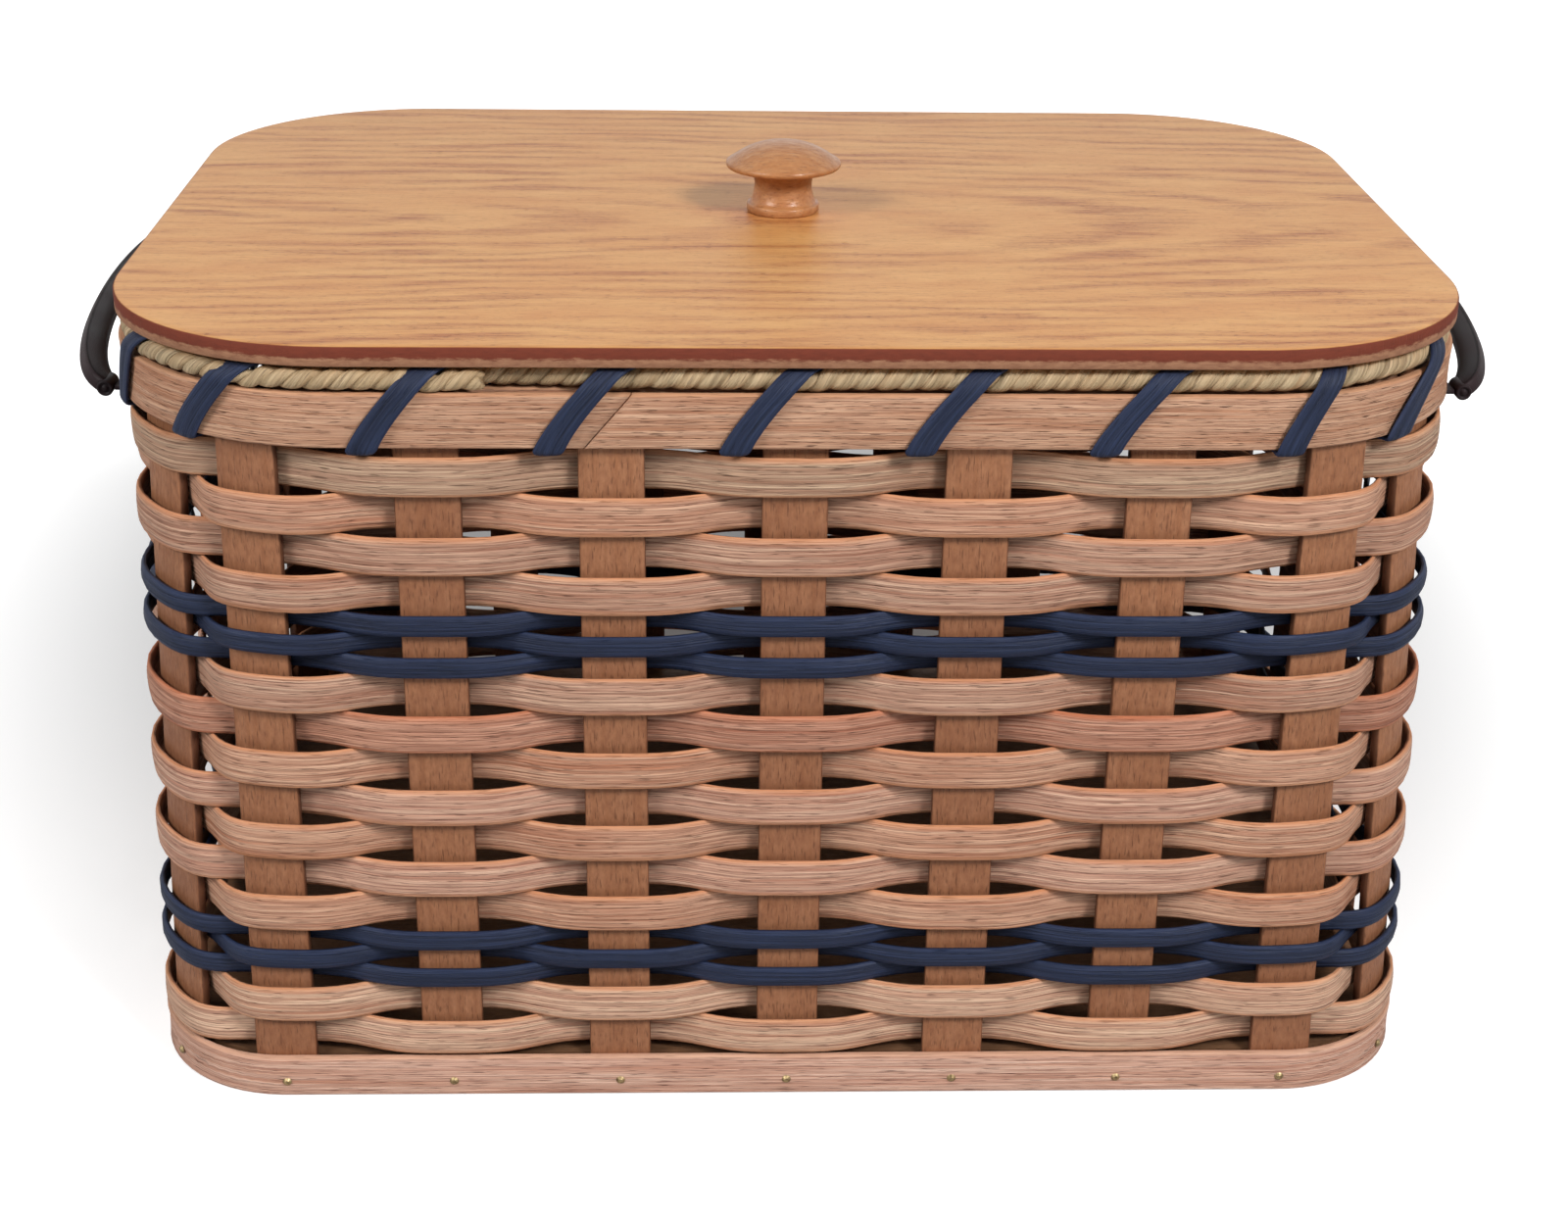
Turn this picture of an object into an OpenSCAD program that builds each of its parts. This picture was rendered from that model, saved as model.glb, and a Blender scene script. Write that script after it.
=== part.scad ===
// Woven bread box: a reed basket on wooden stakes, with a lift-off plywood lid,
// a turned knob and two leather handles. Millimetres. Z is up, X runs along the
// long walls, the front faces -Y, and the origin is under the middle of the base.

/* [Basket wall] */
// Length of the loop that the stakes stand on, at the middle of their thickness
wall_len = 396; // [370:1:440]
// Width of that loop
wall_wid = 290; // [270:1:330]
// Corner radius of that loop at the base
base_corner_r = 40; // [34:1:50]
// Corner radius of that loop at the rim
rim_corner_r = 68; // [56:1:72]

/* [Stakes] */
// Width of a stake
stake_w = 19; // [14:0.5:21]
// Thickness of a stake
stake_t = 3.2; // [2.4:0.1:4]
// Spacing of the stakes along a long wall
long_pitch = 52.5; // [46:0.5:54]
// Spacing of the stakes along a short wall
short_pitch = 60; // [50:1:64]
// Share of the way, from a long wall's last stake to a short wall's first, at which a corner's stake stands
corner_share = 0.355; // [0.34:0.005:0.6]
// Height of the stakes' lower ends above the ground
stake_lift = 1; // [0.5:0.1:3]

/* [Weaving] */
// Width of a natural reed
reed_w = 12; // [9:0.1:14]
// Width of a dyed reed
dyed_w = 6.4; // [4:0.1:9]
// Thickness of a reed
reed_t = 2; // [1.2:0.1:2.4]
// Height of the gap between two rows
row_gap = 0.3; // [0.2:0.05:1]
// Clearance between a reed and the stakes that it passes
weave_fit = 0.6; // [0.55:0.05:1]

/* [Base] */
// Thickness of the base board
board_t = 12; // [9:0.5:13]
// Height of the band nailed round the base
band_h = 14; // [13:0.5:20]
// Thickness of that band
band_t = 2.6; // [1.6:0.1:4]
// Height of the gap between the base band and the lowest row
base_gap = 1.2; // [0.5:0.1:3]
// Clearance between a band or the board and the stakes
seat_fit = 0.1; // [0.05:0.05:0.2]
// Height of the brads in that band
brad_z = 5.3; // [4:0.1:8]
// Diameter of a brad's shank
brad_d = 1.4; // [1:0.1:2]
// Diameter of a brad's head
brad_head_d = 2.8; // [2.2:0.1:4]
// Height of a brad's head
brad_head_h = 0.7; // [0.4:0.1:1]
// Length of a brad's shank in the base
brad_len = 14; // [10:0.5:20]
// Clearance round a brad, a screw or a pin in its hole
hole_fit = 0.05; // [0.03:0.01:0.1]

/* [Rim] */
// Height of the rim bands
rim_h = 16.2; // [12:0.1:22]
// Thickness of a rim band
rim_t = 3; // [2:0.1:4]
// Height of the gap between the rim bands and the top row
rim_gap = 2.8; // [2.6:0.1:4]
// Diameter of the rope that lies on the rim
rope_d = 6; // [5:0.1:8]
// Width of the lashing strip
lash_w = 6.6; // [5:0.1:9]
// Thickness of the lashing strip
lash_t = 1.4; // [0.8:0.1:1.6]
// Clearance between the lashing and what it binds
lash_fit = 0.55; // [0.5:0.05:0.65]
// Distance along the wall from a stake to the lashing that passes under the rim before it
lash_side = 18; // [17:0.5:20]
// How much of the lashing's climb along the wall is left to its inside, 1 for an even climb
lash_hold = 1.3; // [1:0.05:1.4]
// Clearance along the rim between the lashing and a handle's tongue
tongue_berth = 5; // [4.6:0.1:5.4]

/* [Lid] */
// Thickness of the lid panel
lid_t = 6; // [5:0.1:10]
// How far the lid reaches past the rim band
lid_overhang = 0.3; // [0:0.1:6]
// Height between the lashing and the lid that lies on it
lid_seat = 0.3; // [0.2:0.05:1]
// Width of a cleat under the lid
cleat_w = 19; // [12:0.5:26]
// Thickness of a cleat
cleat_t = 9; // [6:0.5:14]
// Distance from the middle of the lid to the middle of a cleat
cleat_x = 112; // [70:1:116]
// Play between a cleat's ends and the lashing inside the rim
cleat_play = 3; // [1:0.5:8]
// How far a cleat's brads go into the lid
brad_bite = 4.2; // [2:0.1:4.5]
// Brads along each cleat
cleat_brads_each = 3; // [2:1:5]

/* [Knob] */
// Diameter of the knob
knob_d = 38; // [30:0.5:50]
// Height of the knob
knob_h = 23; // [20:0.5:32]
// Thickness of the knob's head at its edge
knob_edge = 2.4; // [1.6:0.1:4]
// How far the top of the knob is domed
knob_dome = 6; // [3:0.1:7]
// Diameter of the knob's neck
neck_d = 19; // [15:0.5:21]
// Diameter of the knob's foot
foot_d = 24; // [21:0.5:30]
// Height of the knob's foot
foot_h = 3; // [1:0.5:4]
// Step in from the knob's foot to its neck
foot_step = 0.6; // [0.3:0.1:1]
// Diameter of the screw that holds the knob
screw_d = 4; // [3:0.1:5]
// Diameter of that screw's head
screw_head_d = 8; // [7:0.1:10]
// How far the screw goes into the knob
screw_grip = 14; // [8:0.5:16]

/* [Handles] */
// Distance from the middle of a short wall to each end of its handle
handle_half = 89.5; // [82:0.5:100]
// How far a handle reaches out from its hinge line
handle_reach = 15; // [12:0.5:36]
// Width of the leather strap
strap_w = 8; // [6:0.5:10]
// Thickness of the strap
strap_t = 4.4; // [3.6:0.1:6]
// Angle that a handle stands above level
handle_tilt = 30; // [10:1:45]
// Diameter of the rolled ends of a handle
roll_d = 5; // [4.4:0.1:7]
// Length of those rolled ends past the strap
roll_lip = 0.5; // [0.3:0.1:3]
// Gap between the rim band and the rolled ends
roll_gap = 1.6; // [1.4:0.1:4]
// Gap between a rolled end and its tongue
tongue_fit = 0.4; // [0.3:0.05:0.6]
// Width of the tongue that passes under the rim
tongue_w = 8; // [5:0.5:9]
// Thickness of the tongue
tongue_t = 1.4; // [0.8:0.1:1.6]
// Diameter of the rolled stop inside the basket
stop_d = 5; // [3:0.1:6]
// Length of that stop
stop_len = 8.3; // [8.1:0.1:8.5]

/* [Hidden] */
$fn = 96;
// Rows from the top down: N is a natural reed and D a dyed one
ROWS = "NNNNDDDNNNNNNNDDDNN";
row_count = len(ROWS);
// Stakes on each side of the middle of a long wall and of a short wall
long_side_stakes = 3;
short_side_stakes = 1;
quarter_stakes = long_side_stakes + short_side_stakes + 2;
stake_count = 4 * quarter_stakes;
// Points on a row between two stakes, and across a stake
row_steps = 6;
stake_steps = 4;
// Steps in which a corner stake leans up the woven wall
lean_steps = 8;

half_len = wall_len / 2;
half_wid = wall_wid / 2;
function mix(a, b, t) = a + (b - a) * t;
function unit(v) = v / norm(v);
function two_digits(n) = n < 10 ? str("0", n) : str(n);
function sum_to(list, n) = n <= 0 ? 0 : list[n - 1] + sum_to(list, n - 1);

// Levels, from the base up
row_heights = [for (c = ROWS) c == "D" ? dyed_w : reed_w];
rows_h = sum_to(row_heights, row_count) + row_gap * (row_count - 1);
rim_z = band_h + base_gap + rows_h + rim_gap;
rim_top = rim_z + rim_h;
row_top = rim_z - rim_gap;
function row_z(n) = row_top - sum_to(row_heights, n + 1) - row_gap * n;

// Distances out from the stakes' loop
seat_out = stake_t / 2 + seat_fit;
band_out = seat_out + band_t;
rim_out = seat_out + rim_t;
lash_out = rim_out + lash_fit + lash_t / 2;

// The rope lies in the groove between the two rim bands, and the lashing over it
rope_z = rim_top + sqrt(pow(rope_d / 2 + seat_fit, 2) - pow(seat_out, 2));
stake_top = rope_z - rope_d / 2 - lash_fit;
lash_top = rope_z + rope_d / 2 + lash_fit + lash_t / 2;
lash_under = rim_z - lash_fit - lash_t / 2;
lid_z = lash_top + lash_t / 2 + lid_seat;
lid_top = lid_z + lid_t;

// The loop of the wall: arc lengths run from the middle of the front wall towards +X
function quarter_len(r) = half_len + half_wid + (PI / 2 - 2) * r;
function arc_start(r) = half_len - r;
function quarter_stake(k, r) =
    k <= long_side_stakes ? k * long_pitch
    : k == long_side_stakes + 1 ? mix(quarter_stake(k - 1, r), quarter_stake(k + 1, r), corner_share)
    : quarter_len(r) - (quarter_stakes - k) * short_pitch;
function stake_arc(i, r) =
    let (q = floor(i / quarter_stakes), k = i - q * quarter_stakes)
    q % 2 == 0 ? q * quarter_len(r) + quarter_stake(k, r)
    : (q + 1) * quarter_len(r) - quarter_stake(quarter_stakes - k, r);
function quarter_point(s, r) =
    let (a = (s - arc_start(r)) / r * 180 / PI)
    a < 0 ? [s, -half_wid]
    : a < 90 ? [half_len - r + r * sin(a), r - half_wid - r * cos(a)]
    : [half_len, s - quarter_len(r)];
function loop_point(s, r) =
    let (all = 4 * quarter_len(r), t = (s % all + all) % all, q = floor(t / quarter_len(r)))
    let (back = q == 1 || q == 2, left = q >= 2)
    let (p = quarter_point(q == 0 ? t : q == 1 ? all / 2 - t : q == 2 ? t - all / 2 : all - t, r))
    [left ? -p.x : p.x, back ? -p.y : p.y];

// Half the length along the wall over which its direction is measured
facing_step = wall_len / 800;
// The wall leans from the base loop to the rim loop between the base band and the rim
function lean(z) = min(1, max(0, (z - band_h) / (rim_z - band_h)));
// A point on the wall: u counts stakes, and "along" is a distance past that point
function wall(u, z, along = 0) =
    let (i = floor(u), t = u - i)
    mix(loop_point(mix(stake_arc(i, base_corner_r), stake_arc(i + 1, base_corner_r), t) + along,
                   base_corner_r),
        loop_point(mix(stake_arc(i, rim_corner_r), stake_arc(i + 1, rim_corner_r), t) + along,
                   rim_corner_r),
        lean(z));
function wall_normal(u, z, along = 0) =
    let (d = wall(u, z, along + facing_step) - wall(u, z, along - facing_step))
    [d.y, -d.x] / norm(d);
function wall_out(u, z, out, along = 0) = wall(u, z, along) + wall_normal(u, z, along) * out;

// A reed swings out and in past the stakes, and clears the closest pair of stakes by the fit
closest_pair = min([for (i = [0:quarter_stakes - 1], r = [base_corner_r, rim_corner_r])
    stake_arc(i + 1, r) - stake_arc(i, r)]);
function swing(u) = sin(90 * cos(180 * u));
weave_swing = (stake_t / 2 + reed_t / 2 + weave_fit) / swing(stake_w / 2 / closest_pair);
function weave(n, u) = (n % 2 == 0 ? 1 : -1) * weave_swing * swing(u);

// Nodes
ROW_NODES = [for (n = [1:row_count]) str("weaver_row_", two_digits(n))];
STAKE_NODES = [for (i = [1:stake_count]) str("stake_", two_digits(i))];

// Helpers
module rounded_plate(len_x, len_y, r) {
    square([len_x - 2 * r, len_y], center = true);
    square([len_x, len_y - 2 * r], center = true);
    for (x = [-1, 1], y = [-1, 1])
        translate([x * (len_x / 2 - r), y * (len_y / 2 - r)])
            circle(r);
}

// The loop with corner radius r, moved out from the stakes' middles
module loop_plate(out, r) {
    rounded_plate(wall_len + 2 * out, wall_wid + 2 * out, r + out);
}

module loop_band(from, to, r, h) {
    linear_extrude(h)
        difference() {
            loop_plate(to, r);
            loop_plate(from, r);
        }
}

// Puts its children at stake u on the wall, with +X outwards
module at_wall(u, z) {
    p = wall(u, z);
    n = wall_normal(u, z);
    translate([p.x, p.y, z])
        rotate([0, 0, atan2(n.y, n.x)])
            children();
}

// A skin over rings of points that all have the same number of corners
module skin(rings) {
    sides = len(rings[0]);
    last = len(rings) - 1;
    polyhedron(
        points = [for (ring = rings, p = ring) p],
        faces = concat(
            [for (j = [0:last - 1], k = [0:sides - 1])
                let (a = j * sides + k, b = j * sides + (k + 1) % sides)
                each [[a, a + sides, b], [b, a + sides, b + sides]]],
            [for (k = [0:sides / 2 - 2]) let (m = sides - 1 - k)
                each [[k, k + 1, m - 1], [k, m - 1, m]]],
            [for (k = [0:sides / 2 - 2]) let (a = last * sides + k, m = last * sides + sides - 1 - k)
                each [[a, m - 1, a + 1], [a, m, m - 1]]]));
}

// Base
module base_brad(grow) {
    translate([band_out - brad_len, 0, 0])
        rotate([0, 90, 0])
            cylinder(d = brad_d + 2 * grow, h = brad_len + band_t);
}

module base_brad_holes() {
    for (i = [0:stake_count - 1])
        at_wall(i, brad_z)
            base_brad(hole_fit);
}

module base_board() {
    color("burlywood")
        difference() {
            linear_extrude(board_t)
                loop_plate(-seat_out, base_corner_r);
            base_brad_holes();
        }
}

module base_band() {
    color("sandybrown")
        difference() {
            loop_band(seat_out, band_out, base_corner_r, band_h);
            base_brad_holes();
        }
}

module base_brads() {
    color("gold")
        for (i = [0:stake_count - 1])
            at_wall(i, brad_z) {
                translate([band_out - brad_len, 0, 0])
                    rotate([0, 90, 0])
                        cylinder(d = brad_d, h = brad_len + hole_fit);
                translate([band_out + hole_fit, 0, 0])
                    rotate([0, 90, 0])
                        cylinder(d1 = brad_head_d, d2 = brad_head_d / 2, h = brad_head_h);
            }
}

// Stakes: flat strips, which at the corners follow the loop and lean with the wall
function turn_across(i, z) =
    norm(wall_normal(i, z, stake_w / 2) - wall_normal(i, z, -stake_w / 2));
function stands_flat(i) = turn_across(i, 0) + turn_across(i, rim_z) < 0.001;
function stake_ring(i, z) = [
    for (k = [0:stake_steps])
        concat(wall_out(i, z, stake_t / 2, stake_w * (k / stake_steps - 0.5)), z),
    for (k = [stake_steps:-1:0])
        concat(wall_out(i, z, -stake_t / 2, stake_w * (k / stake_steps - 0.5)), z)];

stake_levels = concat(
    stake_lift,
    [for (k = [0:lean_steps]) mix(band_h, rim_z, k / lean_steps)],
    stake_top);

module stake(i) {
    color("sienna")
        difference() {
            if (stands_flat(i))
                at_wall(i, 0)
                    translate([-stake_t / 2, -stake_w / 2, stake_lift])
                        cube([stake_t, stake_w, stake_top - stake_lift]);
            else
                skin([for (z = stake_levels) stake_ring(i, z)]);
            at_wall(i, brad_z)
                base_brad(hole_fit);
        }
}

// Weaving: each row is a closed ring of reed
function row_side(n, z, out) = [
    for (i = [0:stake_count - 1], k = [0:row_steps - 1])
        let (u = i + k / row_steps)
        wall_out(u, z, weave(n, u) + out)];

module weaver_row(n) {
    h = row_heights[n];
    z = row_z(n);
    points = stake_count * row_steps;
    color(ROWS[n] == "D" ? "midnightblue" : "tan")
        translate([0, 0, z])
            linear_extrude(h)
                polygon(
                    concat(row_side(n, z + h / 2, reed_t / 2), row_side(n, z + h / 2, -reed_t / 2)),
                    [[for (k = [0:points - 1]) k], [for (k = [0:points - 1]) points + k]]);
}

// Rim
module rim_outer_band() {
    color("rosybrown")
        translate([0, 0, rim_z])
            loop_band(seat_out, rim_out, rim_corner_r, rim_h);
}

module rim_inner_band() {
    color("rosybrown")
        translate([0, 0, rim_z])
            loop_band(-rim_out, -seat_out, rim_corner_r, rim_h);
}

module rim_rope() {
    straight_x = wall_len - 2 * rim_corner_r;
    straight_y = wall_wid - 2 * rim_corner_r;
    color("darkkhaki")
        translate([0, 0, rope_z]) {
            for (y = [-1, 1])
                translate([-straight_x / 2, y * half_wid, 0])
                    rotate([0, 90, 0])
                        cylinder(d = rope_d, h = straight_x);
            for (x = [-1, 1])
                translate([x * half_len, straight_y / 2, 0])
                    rotate([90, 0, 0])
                        cylinder(d = rope_d, h = straight_y);
            for (x = [0, 1], y = [0, 1])
                mirror([x, 0, 0])
                    mirror([0, y, 0])
                        translate([straight_x / 2, straight_y / 2, 0])
                            rotate_extrude(angle = 90)
                                translate([rim_corner_r, 0])
                                    circle(d = rope_d);
        }
}

// The lashing: a flat strip wound round both rim bands and the rope, one turn for each stake.
// Its path round the section is laid out flat: p is the length round the section from the middle
// of its underside. The strip passes square under the rim, and then climbs along the wall by one
// stake in each turn.
lash_bend = lash_t / 2 + lash_fit + seat_fit;
lash_side_z = lash_under + lash_bend;
lash_arc_z = lash_top - lash_out;
lash_foot = lash_out - lash_bend;
lash_side_h = lash_arc_z - lash_side_z;
lash_marks = [lash_foot, PI / 2 * lash_bend, lash_side_h, PI * lash_out, lash_side_h,
              PI / 2 * lash_bend, lash_foot];
lash_round = sum_to(lash_marks, 7);
// Distance out, height and facing angle of the section at length p
function lash_section(p) =
    let (q = (p % lash_round + lash_round) % lash_round)
    let (past = [for (k = [0:6]) q - sum_to(lash_marks, k)])
    past[1] < 0 ? [past[0], lash_under, -90]
    : past[2] < 0 ? lash_corner(1, 90 * past[1] / lash_marks[1] - 90)
    : past[3] < 0 ? [lash_out, lash_side_z + past[2], 0]
    : past[4] < 0 ? let (a = 180 * past[3] / lash_marks[3])
        [lash_out * cos(a), lash_arc_z + lash_out * sin(a), a]
    : past[5] < 0 ? [-lash_out, lash_arc_z - past[4], 180]
    : past[6] < 0 ? lash_corner(-1, 90 * past[5] / lash_marks[5] + 180)
    : [past[6] - lash_foot, lash_under, 270];
function lash_corner(side, a) =
    [side * lash_foot + lash_bend * cos(a), lash_side_z + lash_bend * sin(a), a];
// Where the strip has a ring in each turn: round both lower bends, up and down the sides, over the rope
function lash_steps(from, to, n) = [for (k = [1:n]) mix(from, to, k / n)];
lash_ends = [for (k = [1:6]) sum_to(lash_marks, k)];
lash_stops = concat(
    lash_ends[0],
    lash_steps(lash_ends[0], lash_ends[1], 2),
    lash_steps(lash_ends[1], lash_ends[2], 6),
    lash_steps(lash_ends[2], lash_ends[3], 8),
    lash_steps(lash_ends[3], lash_ends[4], 6),
    lash_steps(lash_ends[4], lash_ends[5], 2));
// Each pass under the rim lies beside its stake, midway between two stakes that stand close together,
// or beside a handle's tongue that is in its way
function rim_arc(y) =
    let (d = max(0, y - half_wid + rim_corner_r))
    y - d + rim_corner_r * asin(d / rim_corner_r) * PI / 180;
tongue_arcs = [for (q = [1, 3], side = [-1, 1])
    q * quarter_len(rim_corner_r) + side * rim_arc(handle_half)];
tongue_room = (lash_w + tongue_w) / 2 + tongue_berth;
stake_room = (lash_w + stake_w) / 2 + weave_fit;
function lash_pass(before, stake) =
    let (pass = max(stake - lash_side, (before + stake) / 2))
    let (near = [for (t = tongue_arcs) if (abs(t - pass) < tongue_room) t])
    len(near) == 0 ? pass
    : near[0] + tongue_room < stake - stake_room ? near[0] + tongue_room
    : near[0] - tongue_room;
lash_shifts = [for (i = [0:stake_count])
    let (stake = stake_arc(i, rim_corner_r))
    lash_pass(stake_arc(i - 1, rim_corner_r), stake) - stake];
lash_rings = stake_count * len(lash_stops);
function lash_turn(j) = floor(j / len(lash_stops));
function lash_p(j) = lash_stops[j % len(lash_stops)];
lash_climb_len = lash_round - 2 * lash_foot;
function lash_climb(j) = pow(max(0, (lash_p(j) - lash_foot) / lash_climb_len), lash_hold);
// A point of the strip in ring j, moved along the wall, and off its face
function lash_point(j, along, off) =
    let (s = lash_section(lash_p(j)), i = lash_turn(j), t = lash_climb(j))
    let (q = wall_out(i + t, rim_z, s[0] + off * cos(s[2]),
                      along + mix(lash_shifts[i], lash_shifts[i + 1], t)))
    [q.x, q.y, s[1] + off * sin(s[2])];
function lash_ring(j) =
    let (i = lash_turn(j))
    let (climb = stake_arc(i + 1, rim_corner_r) + lash_shifts[i + 1]
                 - stake_arc(i, rim_corner_r) - lash_shifts[i])
    let (square = lash_climb(j) < 0.001 || lash_climb(j) > 0.999)
    let (edge = lash_w / 2 * (square ? 1 : norm([lash_climb_len, climb]) / lash_climb_len))
    [for (c = [[-1, -1], [-1, 1], [1, 1], [1, -1]])
        lash_point(j, c[0] * edge, c[1] * lash_t / 2)];
lash_centres = [for (j = [0:lash_rings - 1]) lash_point(j, 0, 0)];
// The least gap of the strip to itself, measured from each ring to those half to one and a half
// turns further on
lash_gap = min([for (j = [0:lash_rings - 2 * len(lash_stops)],
                     k = [floor(len(lash_stops) / 2):floor(len(lash_stops) * 3 / 2)])
    norm(lash_centres[j + k] - lash_centres[j])]) - lash_w;
echo(lash_gap = lash_gap);

module rim_lashing() {
    color("navy")
        skin([for (j = [0:lash_rings - 1]) lash_ring(j)]);
}

// Handles: a leather loop on each short wall that swings on its rolled ends
// Distance out to the rim loop at distance y from the middle of a short wall
function rim_x(y) =
    let (d = max(0, y - half_wid + rim_corner_r))
    half_len - rim_corner_r + sqrt(pow(rim_corner_r, 2) - d * d);
tongue_z = rim_z - rim_gap / 2;
roll_len = strap_w + 2 * roll_lip;
hinge_x = rim_x(handle_half - roll_len / 2) + rim_out + roll_gap + roll_d / 2;
hinge_z = tongue_z;
tongue_end = hinge_x - roll_d / 2 - tongue_fit;
stop_x = rim_x(handle_half + stop_len / 2) - lash_out - lash_t / 2 - lash_fit - stop_d / 2;

module handle_tongues() {
    color("saddlebrown")
        for (x = [0, 1], y = [-1, 1])
            mirror([x, 0, 0])
                translate([stop_x, y * handle_half, tongue_z]) {
                    translate([0, -tongue_w / 2, -tongue_t / 2])
                        cube([tongue_end - stop_x, tongue_w, tongue_t]);
                    translate([0, stop_len / 2, 0])
                        rotate([90, 0, 0])
                            cylinder(d = stop_d, h = stop_len);
                }
}

// A ring of the strap at angle a along its bow, in the plane of the handle
function strap_ring(a) =
    let (mid = [handle_reach * cos(a), handle_half * sin(a)])
    let (t = unit([-handle_reach * sin(a), handle_half * cos(a)]), n = [t.y, -t.x])
    [for (k = [0:7])
        [mid.x + n.x * strap_w / 2 * cos(45 * k), mid.y + n.y * strap_w / 2 * cos(45 * k),
         -strap_t / 2 * sin(45 * k)]];

module handle() {
    translate([hinge_x, 0, hinge_z])
        rotate([0, -handle_tilt, 0])
            union() {
                skin([for (a = [-90:15:90]) strap_ring(a)]);
                for (y = [-1, 1])
                    translate([0, y * handle_half + roll_len / 2, 0])
                        rotate([90, 0, 0])
                            cylinder(d = roll_d, h = roll_len);
            }
}

module handle_right() {
    color("saddlebrown")
        handle();
}

module handle_left() {
    color("saddlebrown")
        mirror([1, 0, 0])
            handle();
}

// Lid
lid_len = wall_len + 2 * (rim_out + lid_overhang);
lid_wid = wall_wid + 2 * (rim_out + lid_overhang);
lid_corner_r = rim_corner_r + rim_out + lid_overhang;
cleat_len = wall_wid - 2 * (lash_out + lash_t / 2 + cleat_play);
cleat_brad_step = cleat_len / cleat_brads_each;
screw_head_h = screw_head_d / 3;

module at_cleat_brads() {
    for (x = [-1, 1], k = [0:cleat_brads_each - 1])
        translate([x * cleat_x, (k + 0.5) * cleat_brad_step - cleat_len / 2, lid_z - cleat_t])
            children();
}

module lid_panel() {
    color("peru")
        difference() {
            translate([0, 0, lid_z])
                linear_extrude(lid_t)
                    rounded_plate(lid_len, lid_wid, lid_corner_r);
            translate([0, 0, lid_z - 1])
                cylinder(d = screw_d + 2 * hole_fit, h = lid_t + 2);
            at_cleat_brads()
                cylinder(d = brad_d + 2 * hole_fit, h = cleat_t + brad_bite);
        }
}

module lid_cleats() {
    color("burlywood")
        difference() {
            for (x = [-1, 1])
                translate([x * cleat_x - cleat_w / 2, -cleat_len / 2, lid_z - cleat_t])
                    cube([cleat_w, cleat_len, cleat_t]);
            at_cleat_brads()
                translate([0, 0, -1])
                    cylinder(d = brad_d + 2 * hole_fit, h = cleat_t + 2);
        }
}

module cleat_brads() {
    color("gold")
        at_cleat_brads() {
            cylinder(d = brad_d, h = cleat_t + brad_bite);
            translate([0, 0, -brad_head_h])
                cylinder(d1 = brad_head_d / 2, d2 = brad_head_d, h = brad_head_h);
        }
}

// The knob's outline from its foot up: a hollow neck, a thin rounded edge and a domed top
neck_z = foot_h + (knob_h - knob_edge - knob_dome - foot_h) / 2;
head_z = knob_h - knob_edge - knob_dome;
neck_hollow = neck_z - foot_h;
edge_r = knob_edge / 2;
knob_outline = concat(
    [[0, 0], [foot_d / 2, 0], [foot_d / 2, foot_h]],
    [for (a = [15:15:165])
        [mix(foot_d / 2 - foot_step, neck_d / 2, sin(a)), neck_z - neck_hollow * cos(a)]],
    [[foot_d / 2, head_z]],
    [for (a = [-75:15:90])
        [knob_d / 2 - edge_r + edge_r * cos(a), head_z + edge_r + edge_r * sin(a)]],
    [for (t = [0.125:0.125:1])
        [(knob_d / 2 - edge_r) * (1 - t), knob_h - knob_dome * pow(1 - t, 2.4)]]);

module lid_knob() {
    color("goldenrod")
        translate([0, 0, lid_top])
            difference() {
                rotate_extrude($fn = 96)
                    polygon(knob_outline);
                translate([0, 0, -1])
                    cylinder(d = screw_d + 2 * hole_fit, h = screw_grip + 1 + hole_fit);
            }
}

module knob_screw() {
    color("silver")
        translate([0, 0, lid_z]) {
            cylinder(d = screw_d, h = lid_t + screw_grip);
            translate([0, 0, -screw_head_h])
                cylinder(d1 = screw_head_d - screw_head_h, d2 = screw_head_d, h = screw_head_h);
        }
}

// Drawing
base_board();
base_band();
base_brads();
for (i = [0:stake_count - 1])
    stake(i);
for (n = [0:row_count - 1])
    weaver_row(n);
rim_outer_band();
rim_inner_band();
rim_rope();
rim_lashing();
handle_tongues();
handle_left();
handle_right();
lid_panel();
lid_cleats();
cleat_brads();
lid_knob();
knob_screw();
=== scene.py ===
"""Dresses the woven bread box for rendering.

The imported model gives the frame. The reeds, stakes, bands, rope, lashing, lid, knob and leather loops are
made again here as finished pieces in the same places, and the small fittings keep their own solids.
Sizes are in millimetres until a mesh is made. X runs along the long walls, the front faces -Y, Z is up.
"""
import math
import random

import bmesh
import bpy
from mathutils import Matrix, Vector


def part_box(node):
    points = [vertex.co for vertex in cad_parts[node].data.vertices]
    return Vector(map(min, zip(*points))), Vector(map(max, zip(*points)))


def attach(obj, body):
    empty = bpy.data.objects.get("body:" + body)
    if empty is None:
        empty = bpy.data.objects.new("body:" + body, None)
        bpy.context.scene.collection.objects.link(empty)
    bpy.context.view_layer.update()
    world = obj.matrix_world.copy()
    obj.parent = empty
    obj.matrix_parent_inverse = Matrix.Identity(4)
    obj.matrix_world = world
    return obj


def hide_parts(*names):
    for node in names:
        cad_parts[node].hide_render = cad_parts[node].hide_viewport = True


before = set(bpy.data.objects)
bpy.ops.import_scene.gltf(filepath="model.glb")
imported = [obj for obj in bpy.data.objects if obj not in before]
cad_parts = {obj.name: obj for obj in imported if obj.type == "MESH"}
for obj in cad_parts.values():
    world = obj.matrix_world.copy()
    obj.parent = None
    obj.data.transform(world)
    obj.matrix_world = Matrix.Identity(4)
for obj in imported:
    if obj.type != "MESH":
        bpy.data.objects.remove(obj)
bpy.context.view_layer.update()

MM = 0.001


def node_box(node):
    """The lowest and highest corner of a CAD node, in millimetres."""
    low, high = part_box(node)
    return [v / MM for v in low], [v / MM for v in high]


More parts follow.
